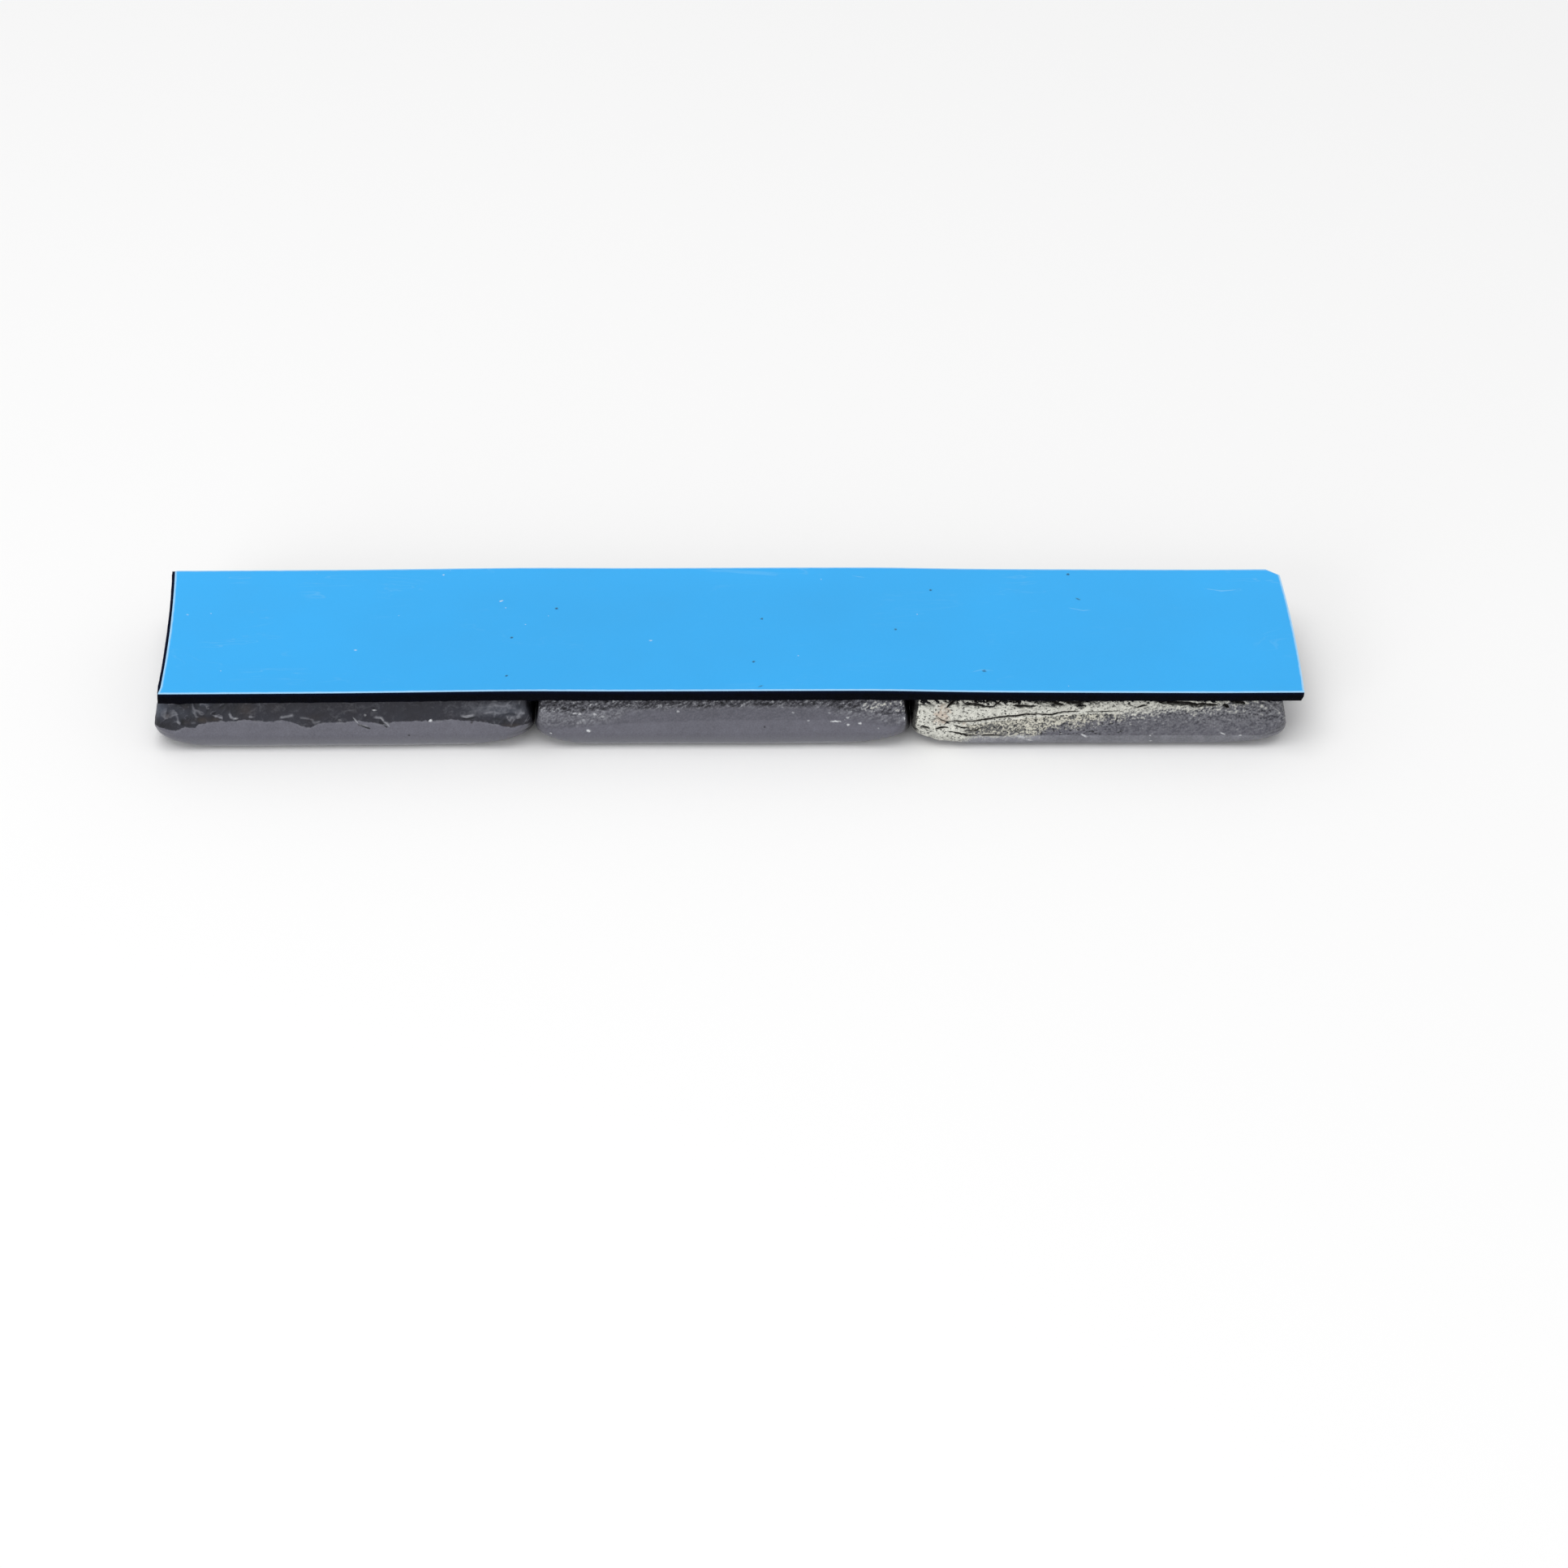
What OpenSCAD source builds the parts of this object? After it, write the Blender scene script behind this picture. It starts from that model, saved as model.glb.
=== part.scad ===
// Stick-on wheel balance weight: a row of cast lead blocks on one strip of foam tape.
// The tape side is up and the castings rest on their flat outer faces.
// X runs along the strip, Y across it. The origin is the centre of the base.

/* [Row of castings] */
// Distance between the middles of neighbouring castings
casting_pitch = 38.6; // [32:0.1:60]
// Gap left between the widest lines of two neighbours
casting_gap = 0.1; // [0.05:0.05:1]
// Width of a casting across the strip, at its widest line
casting_width = 22.2; // [18:0.1:40]
// Height of a casting, from its outer face to the tape
casting_height = 6.3; // [4:0.1:12]

/* [Crown and draft] */
// Height of the rounded crown, from the outer face to the widest line
crown_height = 2.1; // [0.8:0.1:3]
// How far the flat outer face lies inside the widest line, all round
crown_inset = 1.5; // [0.5:0.1:2.5]
// How far the draft brings the walls in between the widest line and the tape
draft_inset = 0.8; // [0.1:0.05:1.5]
// Radius of the rim where the walls meet the tape side
rim_radius = 0.25; // [0.1:0.05:0.5]

/* [Corners of a casting] */
// Length of the rounded corner along the strip, at the outer face
face_corner_long = 9.0; // [2:0.1:12]
// Width of the rounded corner across the strip, at the outer face
face_corner_wide = 5.0; // [1:0.1:6]
// Length of the rounded corner along the strip, at the widest line
waist_corner_long = 2.4; // [1:0.1:8]
// Width of the rounded corner across the strip, at the widest line
waist_corner_wide = 2.0; // [0.8:0.1:5]
// Length of the rounded corner along the strip, at the tape
tape_corner_long = 0.8; // [0.5:0.1:6]
// Width of the rounded corner across the strip, at the tape
tape_corner_wide = 0.7; // [0.5:0.1:4]
// Power by which the corners grow from the widest line down to the outer face (below 1 is quick at first)
corner_swing = 0.7; // [0.5:0.05:1.5]

/* [Tape and liner] */
// Length of the tape between its two cut ends
tape_length = 116.2; // [98:0.1:180]
// Width of the tape across the strip
tape_width = 22.0; // [17:0.1:40]
// Thickness of the foam
foam_thickness = 0.9; // [0.4:0.1:2]
// Thickness of the plastic liner on the foam
liner_thickness = 0.1; // [0.05:0.05:0.3]
// How far the tape is stuck off the middle of the row
tape_shift = 1.1; // [0:0.1:3]
// How far the liner stops short of the foam at the left end
liner_setback = 0.3; // [0:0.1:2]

/* [Shear cut] */
// Radius of the curved cut at both ends of the tape
cut_radius = 230; // [100:10:600]
// Where the cut reaches furthest to the right, across the strip
cut_peak = -8; // [-8:0.5:8]
// Length of the corner lost at the back of the right end
lost_corner_long = 1.3; // [0.2:0.1:4]
// Width of the corner lost at the back of the right end
lost_corner_wide = 1.1; // [0.2:0.1:4]

/* [Smoothness] */
// Facets round each corner of a casting
corner_facets = 12; // [4:1:14]
// Rings up the rounded crown
crown_rings = 8; // [3:1:10]

/* [Hidden] */
lead_grey = [0.43, 0.42, 0.43];
scuffed_grey = [0.47, 0.46, 0.47];
bare_lead = [0.72, 0.72, 0.66];
foam_black = [0.07, 0.07, 0.09];
liner_blue = [0.08, 0.42, 0.85];

draft_rings = 3;
rim_rings = 3;
cut_steps = 16;

half_length = (casting_pitch - casting_gap) / 2;
half_width = casting_width / 2;
half_row = casting_pitch + half_length;
row_x = (half_row - tape_length / 2 - tape_shift) / 2;
tape_x = row_x + tape_shift;
foam_z = casting_height;
liner_z = casting_height + foam_thickness;

face_corner = [face_corner_long, face_corner_wide];
waist_corner = [waist_corner_long, waist_corner_wide];
tape_corner = [tape_corner_long, tape_corner_wide];

function blend(from, to, share) = from + (to - from) * share;

// A level of the casting is [height, inset from the widest outline, corner size].
function crown_level(angle) = [
    crown_height * (1 - cos(angle)),
    crown_inset * (1 - sin(angle)),
    blend(waist_corner, face_corner, pow(1 - sin(angle), corner_swing))
];

function draft_level(share) = [
    blend(crown_height, casting_height - rim_radius, share),
    draft_inset * share,
    blend(waist_corner, tape_corner, share)
];

function rim_level(angle) = [
    casting_height - rim_radius * (1 - sin(angle)),
    draft_inset + rim_radius * (1 - cos(angle)),
    tape_corner
];

levels = [
    for (i = [0 : crown_rings]) crown_level(90 * i / crown_rings),
    for (i = [1 : draft_rings]) draft_level(i / draft_rings),
    for (i = [1 : rim_rings]) rim_level(90 * i / rim_rings)
];

// The outline of one level: four elliptic corners joined by straight sides.
function outline(level) = [
    for (quarter = [0 : 3])
        for (step = [0 : corner_facets])
            let (
                angle = 90 * (quarter + step / corner_facets),
                side_x = (quarter == 0 || quarter == 3) ? 1 : -1,
                side_y = (quarter < 2) ? 1 : -1
            )
            [
                side_x * (half_length - level[1] - level[2][0]) + level[2][0] * cos(angle),
                side_y * (half_width - level[1] - level[2][1]) + level[2][1] * sin(angle),
                level[0]
            ]
];

// One casting, lofted through its levels from the outer face up to the tape.
module casting() {
    ring = 4 * (corner_facets + 1);
    last = len(levels) - 1;
    points = [for (level = levels) each outline(level)];
    base = [for (j = [0 : ring - 1]) j];
    top = [for (j = [ring - 1 : -1 : 0]) last * ring + j];
    walls = [
        for (i = [0 : last - 1])
            for (j = [0 : ring - 1])
                let (k = (j + 1) % ring)
                [i * ring + j, (i + 1) * ring + j, (i + 1) * ring + k, i * ring + k]
    ];
    polyhedron(points = points, faces = concat([base], walls, [top]), convexity = 2);
}

// How far the curved cut lies to the left of its furthest point, at one place across the tape.
function cut_sag(y) = cut_radius - sqrt(pow(cut_radius, 2) - pow(y - cut_peak, 2));

// The outline of the tape, with both ends cut by the same curve and one corner lost.
module tape_outline(setback) {
    front = -tape_width / 2;
    back = tape_width / 2;
    right = tape_x + tape_length / 2;
    left = tape_x - tape_length / 2 + setback;
    stop = back - lost_corner_wide;
    right_end = [
        for (i = [0 : cut_steps])
            let (y = blend(front, stop, i / cut_steps))
            [right - cut_sag(y), y]
    ];
    corner_end = [right - cut_sag(stop) - lost_corner_long, back];
    left_end = [
        for (i = [0 : cut_steps])
            let (y = blend(back, front, i / cut_steps))
            [left - cut_sag(y), y]
    ];
    polygon(concat(right_end, [corner_end], left_end));
}

module weight_left() {
    color(lead_grey)
        translate([row_x - casting_pitch, 0, 0])
            casting();
}

module weight_middle() {
    color(scuffed_grey)
        translate([row_x, 0, 0])
            casting();
}

module weight_right() {
    color(bare_lead)
        translate([row_x + casting_pitch, 0, 0])
            casting();
}

module foam_tape() {
    color(foam_black)
        translate([0, 0, foam_z])
            linear_extrude(height = foam_thickness)
                tape_outline(0);
}

module release_liner() {
    color(liner_blue)
        translate([0, 0, liner_z])
            linear_extrude(height = liner_thickness)
                tape_outline(liner_setback);
}

weight_left();
weight_middle();
weight_right();
foam_tape();
release_liner();
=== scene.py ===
import bpy
import numpy as np
from bpy.props import FloatProperty, FloatVectorProperty, IntProperty, PointerProperty
from mathutils import Matrix, Vector


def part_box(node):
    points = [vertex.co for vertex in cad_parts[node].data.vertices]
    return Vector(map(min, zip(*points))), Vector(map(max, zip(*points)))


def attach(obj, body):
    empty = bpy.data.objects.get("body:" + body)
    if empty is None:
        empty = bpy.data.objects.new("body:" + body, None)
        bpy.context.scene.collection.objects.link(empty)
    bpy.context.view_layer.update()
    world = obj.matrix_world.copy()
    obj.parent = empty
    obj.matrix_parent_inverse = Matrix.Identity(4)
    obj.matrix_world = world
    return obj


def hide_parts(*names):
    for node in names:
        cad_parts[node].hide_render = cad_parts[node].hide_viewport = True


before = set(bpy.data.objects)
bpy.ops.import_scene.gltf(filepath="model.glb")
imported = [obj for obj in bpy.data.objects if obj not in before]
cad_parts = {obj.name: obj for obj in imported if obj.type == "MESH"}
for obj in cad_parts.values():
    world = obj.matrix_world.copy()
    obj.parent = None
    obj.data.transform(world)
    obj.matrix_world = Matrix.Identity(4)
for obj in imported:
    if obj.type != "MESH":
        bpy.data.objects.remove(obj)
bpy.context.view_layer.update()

bl_info = {
    "name": "Stick-on wheel balance weight",
    "version": (1, 0, 0),
    "blender": (4, 5, 0),
    "location": "View3D > Sidebar > Balance weight",
    "description": "Builds a stick-on balance weight: cast lead blocks, foam tape and a blue release liner",
    "category": "Object",
}

# Every shape below is worked out in millimetres and goes into its mesh in metres.
MM = 0.001
BODY = "root"


def linear(red, green, blue):
    """The linear colour of a screen colour given in steps from 0 to 255."""
    steps = np.array([red, green, blue]) / 255
    low = steps / 12.92
    high = ((steps + 0.055) / 1.055) ** 2.4
    return tuple(float(c) for c in np.where(steps <= 0.04045, low, high))


def length(name, description, millimetres):
    """A length property whose default is given in millimetres."""
    return FloatProperty(name=name, description=description, default=millimetres * MM, unit="LENGTH")


def colour(name, description, *steps):
    """A colour property whose default is given as screen steps from 0 to 255."""
    return FloatVectorProperty(
        name=name, description=description, default=linear(*steps), subtype="COLOR", size=3, min=0, max=1
    )


class CastingShape(bpy.types.PropertyGroup):
    """Form of one cast lead block."""

    crown_height: length("Crown height", "From the flat outer face up to the widest line", 2.1)
    crown_inset: length("Crown inset", "How far the outer face lies inside the widest line", 1.5)
    draft_inset: length("Draft inset", "How far the walls lean in up to the tape", 0.8)
    rim_radius: length("Rim radius", "Rounding where the walls meet the tape side", 0.25)
    tape_long: length("Tape corner length", "Corner length along the strip at the tape", 0.35)
    tape_wide: length("Tape corner width", "Corner width across the strip at the tape", 0.35)
    unevenness: length("Unevenness", "Height of the slow swells of the cast walls", 0.04)
    wrinkle: length("Wrinkle height", "Height of the flow wrinkles near the tape", 0.06)
    grit: length("Grit height", "Height of the grains near the tape", 0.09)
    crust: length("Crust height", "Height of the corroded plates", 0.16)
    crack_depth: length("Crack depth", "Depth of the open cracks", 0.4)


class CastingFinish(bpy.types.PropertyGroup):
    """Colours of the cast lead blocks."""

    coat: colour("Coat", "Smooth grey coat", 101, 101, 111)
    scuff: colour("Scuffed coat", "Dull coat near the tape", 40, 40, 48)
    # This colour also gives the painted light on the lower walls and the painted highlight along the scuffed
    # zone's ragged edge.
    ridge: colour("Ridge", "Rubbed ridges of the scuffed coat", 134, 135, 142)
    # This colour also gives the painted shade on the castings' sides that face each other.
    groove: colour("Groove", "Bottoms of folds and scratches", 17, 18, 22)
    rust: colour("Warm dirt", "Brown dirt in the scuffed coat", 62, 55, 51)
    haze: colour("Cool haze", "Blue grey haze on the scuffed coat", 78, 84, 96)
    # This colour also gives the painted highlight along the castings' lower edge.
    chip_and_edge_highlight: colour("Chip", "Bright metal in small chips", 216, 218, 222)
    bare: colour("Whitened lead", "Corroded lead without its coat", 235, 235, 226)
    stain: colour("Stained lead", "Tan stain on the whitened lead", 206, 184, 166)
    dull: colour("Dull crust", "Grey tan crust below the main crack", 214, 211, 197)
    grain: colour("Worn lead", "Grey lead grains where the coat is worn thin", 134, 135, 140)
    band: colour("Smooth band", "Paler smooth coat along the worn lead's lower edge", 142, 143, 151)
    gloss: FloatProperty(
        name="Coat gloss", description="Weight of the clear gloss on the coat", default=0.25, min=0, max=1
    )


class TapeShape(bpy.types.PropertyGroup):
    """Form of the foam tape and its liner."""

    cut_radius: length("Cut radius", "Radius of the curved shear cut at both ends", 230)
    cut_peak: length("Cut peak", "Where across the strip the cut reaches furthest", -8)
    lost_long: length("Lost corner length", "Corner lost at the back of the right end", 1.3)
    lost_wide: length("Lost corner width", "Corner lost at the back of the right end", 1.1)
    lean: length("Foam lean", "How far the foam's lower edge falls back at the right end", 0.25)
    hang: length("Foam hang", "How far the foam's cut sides hang below its lower face", 0.08)
    roughness: length("Foam roughness", "Height of the uneven cells along the foam's cut sides", 0.05)
    ripple: length("Liner ripple", "Height of the slight waves in the liner", 0.015)


class TapeFinish(bpy.types.PropertyGroup):
    """Colours of the foam tape and its liner."""

    liner: colour("Liner", "Blue plastic film", 50, 171, 240)
    # Painted highlight: the bright line where the film's cut edges catch the light.
    rim: colour("Liner edge", "Whitened cut edge of the film", 170, 216, 248)
    scratch: colour("Liner scratch", "Pale rubbed lines on the film", 130, 200, 248)
    speck: colour("Speck", "Dust on the film", 232, 240, 246)
    # This colour also gives the painted shade on the film's underside and the lower half of its sides.
    dirt: colour("Dirt", "Dark crumbs on the film", 24, 52, 84)
    foam: colour("Foam", "Black foam", 2, 3, 11)
    # Painted light: the navy that the blue film throws on the foam just under it, not a colour of the foam.
    shade: colour("Foam under the liner", "Foam that the blue film tints", 2, 8, 32)


class StageSettings(bpy.types.PropertyGroup):
    """Floor, lights and camera."""

    floor: colour("Floor", "Pale plain floor", 253, 253, 253)
    sky: FloatProperty(name="Sky strength", description="Even light from all round", default=0.5, min=0)
    key: FloatProperty(name="Key light", description="Soft light overhead", default=5.8, min=0)
    fill: FloatProperty(name="Fill light", description="Soft low light from the front", default=2.4, min=0)
    pitch: FloatProperty(name="Camera pitch", description="Degrees that the camera looks down", default=37.2)
    lens: FloatProperty(name="Lens", description="Focal length in millimetres", default=102.5)
    distance: length("Camera distance", "Depth of the liner's front edge from the camera", 451.8)
    seed: IntProperty(name="Seed", description="Seed of every random pattern", default=7)


# The strip is not quite straight: how far it bends across, and how far the tape lies over its
# nominal level, at places along the strip, in millimetres.
STRIP_BEND = ((-58, -0.46), (-39, -0.33), (-20, 0.0), (0, 0.02), (19, 0.14), (38, 0.16), (57, 0.22))
TAPE_RISE = (
    (-56, 0.08), (-49, 0.1), (-39, 0.13), (-22, 0.19), (-12, 0.12), (4, 0.16), (17, 0.13), (22, -0.03),
    (27, -0.1), (50, -0.22), (58, -0.17),
)

# How each casting came out: where its two ends lie past its node's, its corner at the widest line,
# its left and right corners at the outer face, and the power by which the corners grow down to it.
CAST_FORM = {
    "weight_left": ((0.02, 0.31), (3.1, 2.6), (8.1, 5.3), (10.5, 5.9), 0.75),
    "weight_middle": ((0.29, 0.13), (2.3, 1.8), (6.6, 6.2), (10.6, 4.0), 0.6),
    "weight_right": ((0.11, -0.03), (3.0, 2.0), (9.2, 5.5), (11.2, 2.8), 0.9),
}

# The wear is placed on the wall of a casting, in millimetres along the strip from the casting's
# middle and up from its outer face. An edge is a row of such places, from left to right. A stroke
# is its tone, half width and route. A patch is its place, two radii, tone and tint, where a tint
# over 0 is brown and one below 0 is blue.
SCUFF_EDGE = (
    (-19, 2.9), (-18.2, 2.7), (-17.3, 2.5), (-16.9, 2.4), (-16.4, 2.55), (-16.1, 2.8), (-14.8, 2.75),
    (-14.4, 3.05), (-13.1, 3.4), (-11.7, 3.5), (-10.8, 3.4), (-9.8, 3.65), (-8.7, 3.5), (-7.6, 3.4),
    (-6.0, 3.55), (-4.7, 3.25), (-3.6, 2.8), (-3.1, 2.7), (-2.6, 3.05), (-1.6, 3.3), (-0.5, 3.4),
    (0.3, 3.25), (1.4, 3.5), (3.0, 3.4), (4.1, 3.1), (5.0, 3.2), (5.3, 3.45), (9.0, 3.5), (11.1, 3.65),
    (13.4, 3.5), (14.7, 3.4), (16.1, 3.05), (17.4, 2.8), (18.5, 3.1),
)
LEFT_STROKES = (
    (0.55, 0.16, (-17.5, 5.56), (-16.9, 5.54), (-16.2, 5.61), (-15.8, 5.75)),
    (-0.5, 0.13, (-17.0, 5.02), (-17.4, 4.7), (-17.6, 4.3)),
    (-0.5, 0.17, (-17.0, 4.97), (-16.5, 4.7), (-16.25, 4.2), (-16.1, 3.6), (-16.0, 3.0)),
    (0.5, 0.14, (-17.1, 4.2), (-16.9, 4.6), (-16.65, 4.3), (-16.5, 3.7), (-16.3, 3.0)),
    (-0.6, 0.14, (-16.8, 5.1), (-16.3, 5.3), (-15.7, 5.4), (-15.2, 5.35), (-15.15, 4.9), (-15.25, 4.4)),
    (0.5, 0.13, (-15.5, 5.8), (-15.15, 5.8), (-14.9, 5.4), (-14.8, 4.9), (-14.55, 4.65)),
    (-0.8, 0.16, (-14.8, 5.7), (-14.7, 5.25), (-14.55, 4.9), (-14.35, 5.2), (-14.35, 5.6)),
    (0.5, 0.1, (-14.35, 5.8), (-14.15, 5.5), (-14.15, 5.1)),
    (0.35, 0.14, (-15.05, 4.5), (-14.8, 4.25), (-14.65, 3.9), (-14.7, 3.5)),
    (0.7, 0.1, (-13.4, 4.95), (-13.1, 4.85), (-12.9, 4.95)),
    (-0.55, 0.13, (-13.6, 4.3), (-13.4, 4.7), (-12.9, 5.1), (-12.4, 5.4)),
    (0.45, 0.1, (-13.2, 4.2), (-13.0, 4.5), (-12.65, 4.55), (-12.5, 4.3)),
    (-0.9, 0.12, (-12.85, 4.3), (-12.6, 4.28)),
    (0.8, 0.1, (-12.9, 4.2), (-12.65, 4.02), (-12.3, 3.9), (-12.0, 3.95)),
    (0.4, 0.11, (-12.4, 5.1), (-11.8, 5.4), (-11.6, 5.75)),
    (-0.4, 0.12, (-12.2, 4.9), (-11.7, 5.2), (-11.3, 5.5)),
    (0.4, 0.12, (-12.0, 4.3), (-11.7, 4.8), (-11.5, 5.05)),
    (0.9, 0.12, (-11.3, 4.35), (-11.05, 3.95), (-10.75, 3.78), (-10.5, 3.85)),
    (0.6, 0.12, (-9.3, 3.95), (-8.9, 3.95)),
    (0.75, 0.12, (-6.1, 3.8), (-5.4, 4.0), (-4.8, 4.15)),
    (0.4, 0.12, (-4.1, 3.95), (-3.6, 3.8), (-2.9, 3.7), (-2.6, 3.2)),
    (0.4, 0.11, (-2.5, 3.3), (-2.1, 3.45)),
    (0.7, 0.1, (1.3, 3.85), (1.8, 3.25), (2.9, 2.85)),
    (-1.0, 0.1, (1.75, 3.1), (2.4, 2.82), (3.05, 2.65)),
    (0.4, 0.1, (2.2, 2.6), (2.9, 2.3)),
    (0.6, 0.11, (3.4, 3.9), (4.15, 3.85), (4.6, 3.3), (4.95, 2.95)),
    (-0.8, 0.1, (4.0, 3.5), (4.4, 3.0), (4.75, 2.78)),
    (0.8, 0.12, (12.3, 4.1), (12.8, 3.9), (13.5, 4.15)),
    (-0.6, 0.12, (12.4, 3.8), (13.0, 3.7), (13.6, 3.85)),
    (-0.5, 0.14, (15.3, 3.7), (16.0, 3.75), (16.9, 3.4)),
    (-0.6, 0.12, (16.0, 5.8), (17.1, 5.75)),
    (-0.35, 0.14, (7.5, 5.6), (8.3, 5.5)),
    (0.6, 0.1, (10.2, 5.75), (10.9, 6.05), (11.6, 5.8)),
    (0.5, 0.1, (15.6, 5.3), (16.6, 5.15), (17.4, 5.25)),
    (0.45, 0.1, (14.6, 4.3), (15.4, 4.5), (16.2, 4.35)),
    (-0.5, 0.12, (16.3, 4.1), (17.1, 4.3), (17.9, 4.2)),
)
LEFT_PATCHES = (
    (-18.3, 5.1, 0.8, 0.8, 0.3, -0.8), (-18.4, 4.3, 0.5, 0.5, 0.15, -0.3),
    (-13.7, 5.4, 0.6, 0.3, 0.3, -0.5), (-16.4, 4.6, 2.3, 1.2, 0.12, -0.3),
    (-14.3, 4.3, 0.5, 0.45, 0.25, 0.1), (-14.1, 3.6, 0.6, 0.28, -0.25, 0.8),
    (-12.7, 3.7, 0.5, 0.22, -0.15, 0.6), (-15.7, 5.0, 0.4, 0.3, -0.1, 0.5),
    (-17.6, 4.1, 0.35, 0.3, 0.05, 0.7), (-17.0, 3.7, 0.35, 0.3, -0.35, 0),
    (-18.0, 3.1, 0.8, 0.35, -0.2, 0.1), (-15.6, 3.4, 0.5, 0.4, -0.1, 0.3),
    (-9.6, 4.9, 0.7, 0.8, 0.05, 0.5), (-10.4, 4.9, 0.5, 0.8, -0.2, 0), (-7.0, 5.0, 1.5, 0.7, 0.08, 0.1),
    (-2.6, 3.9, 0.8, 0.5, -0.15, 0.2), (0.5, 4.9, 2.0, 0.8, 0.05, 0.1), (6.5, 4.3, 2.0, 0.6, -0.1, 0),
    (16.8, 4.8, 2.0, 0.9, 0.48, -0.5), (13.6, 5.0, 1.2, 0.7, 0.25, -0.2),
    (17.5, 3.85, 0.5, 0.2, 0.3, 0), (17.4, 3.0, 0.9, 0.25, -0.05, 0.6),
    (18.3, 3.7, 0.35, 0.25, -0.35, 0.1), (18.2, 5.05, 0.2, 0.16, -0.7, 0),
    (13.25, 3.34, 0.2, 0.16, -0.7, 0.2),
)
MIDDLE_STROKES = (
    (0.9, 0.1, (-16.1, 4.7), (-15.6, 4.5), (-15.0, 4.35), (-14.4, 4.3)),
    (-0.9, 0.1, (-16.2, 4.9), (-15.5, 4.85)),
    (-0.9, 0.1, (-15.2, 4.2), (-14.5, 4.15)),
    (0.7, 0.11, (-14.9, 5.55), (-14.3, 5.75)),
    (0.7, 0.11, (-13.4, 5.2), (-12.6, 5.45)),
    (0.7, 0.1, (-17.2, 5.95), (-16.0, 6.0)),
    (-0.6, 0.13, (-17.3, 5.5), (-16.6, 5.2)),
    (-0.6, 0.12, (-12.2, 4.9), (-11.4, 4.75)),
    (0.5, 0.1, (-9.9, 5.1), (-9.0, 5.35)),
    (-0.7, 0.12, (2.7, 5.3), (3.9, 5.38), (5.6, 5.35)),
    (0.8, 0.1, (4.9, 5.6), (5.6, 5.75)),
    (0.5, 0.1, (6.0, 5.35), (6.6, 4.8)),
    (-0.9, 0.16, (0.0, 5.5), (0.5, 5.3)),
    (-0.8, 0.14, (1.0, 5.25), (1.5, 5.1)),
    (0.5, 0.11, (12.7, 4.5), (13.6, 4.6)),
    (0.6, 0.16, (14.6, 5.1), (15.7, 5.2), (16.5, 5.3), (17.7, 5.7)),
    (0.5, 0.13, (14.9, 4.75), (16.0, 4.95)),
    (0.9, 0.1, (18.35, 5.9), (18.45, 5.2)),
    (0.6, 0.1, (18.5, 5.0), (18.55, 4.4)),
    (0.9, 0.1, (18.72, 3.95), (18.76, 3.45)),
)
MIDDLE_PATCHES = (
    (-14.5, 4.2, 3.0, 1.0, 0.15, 0), (-17.9, 4.6, 0.8, 1.0, 0.2, -0.4), (17.3, 3.0, 1.2, 0.5, -0.2, 0),
    (-15.5, 3.1, 1.8, 0.5, -0.1, 0), (16.2, 5.2, 2.2, 0.5, 0.3, 0.5), (7.0, 4.4, 6.0, 0.5, -0.08, 0),
)
# Lower edges of the dense grit, of the thin grit and of the faint darker tone.
GRIT_CORE = (
    (-19, 4.7), (-16.5, 4.4), (-13.0, 4.5), (-11.0, 4.75), (-8, 4.9), (1.6, 5.0), (3.0, 5.1),
    (10.8, 5.15), (12.3, 4.7), (14, 4.5), (16, 4.3), (19, 4.1),
)
GRIT_EDGE = (
    (-19, 3.3), (-17.5, 2.8), (-14.5, 2.75), (-12.4, 3.1), (-10.4, 3.4), (-9.4, 4.2), (-8, 4.6),
    (10.8, 4.8), (11.6, 4.1), (14, 3.6), (16, 3.4), (17.5, 2.9), (19, 2.9),
)
TONE_STEP = (
    (-19, 2.5), (-15, 2.65), (-12.2, 3.0), (-9.8, 3.2), (-6, 3.4), (1, 3.6), (12, 3.6), (17, 2.9),
    (19, 2.7),
)
RIGHT_STROKES = (
    (1.0, 0.12, (-8.6, 2.0), (-7.9, 1.7), (-7.0, 1.45)),
    (1.0, 0.12, (-1.95, 2.15), (-1.35, 1.8)),
    (0.7, 0.11, (12.7, 4.6), (13.8, 4.45), (15.2, 4.6)),
    (0.5, 0.11, (11.8, 4.5), (12.2, 4.45)),
    (0.5, 0.1, (15.4, 5.85), (16.1, 5.5), (16.8, 5.0)),
    (-0.5, 0.1, (15.8, 5.9), (16.5, 5.4)),
    (0.5, 0.1, (16.6, 5.8), (17.3, 5.3), (17.6, 4.9)),
    (-0.6, 0.12, (17.0, 5.9), (17.8, 5.1)),
    (-0.45, 0.14, (16.2, 4.6), (17.6, 4.7)),
    (0.4, 0.12, (17.9, 5.6), (18.2, 4.6), (18.3, 3.6)),
    (-0.4, 0.18, (16.5, 3.6), (18.0, 3.9)),
)
RIGHT_PATCHES = (
    (-10.3, 2.7, 1.6, 0.45, -0.35, 0.1), (-7.0, 2.9, 1.2, 0.5, -0.05, 0.6),
    (-13.8, 2.8, 1.0, 0.35, -0.25, 0.5), (17.0, 3.3, 1.2, 0.8, -0.2, 0), (5.0, 3.0, 5.0, 0.7, -0.1, 0),
    (-16.0, 3.2, 0.7, 0.25, -0.2, 0.3), (-12.6, 2.35, 1.6, 0.3, -0.35, 0),
    (-17.8, 5.0, 0.7, 1.2, 0.2, 0), (-13.0, 4.6, 1.8, 0.5, 0.15, 0),
)
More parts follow.
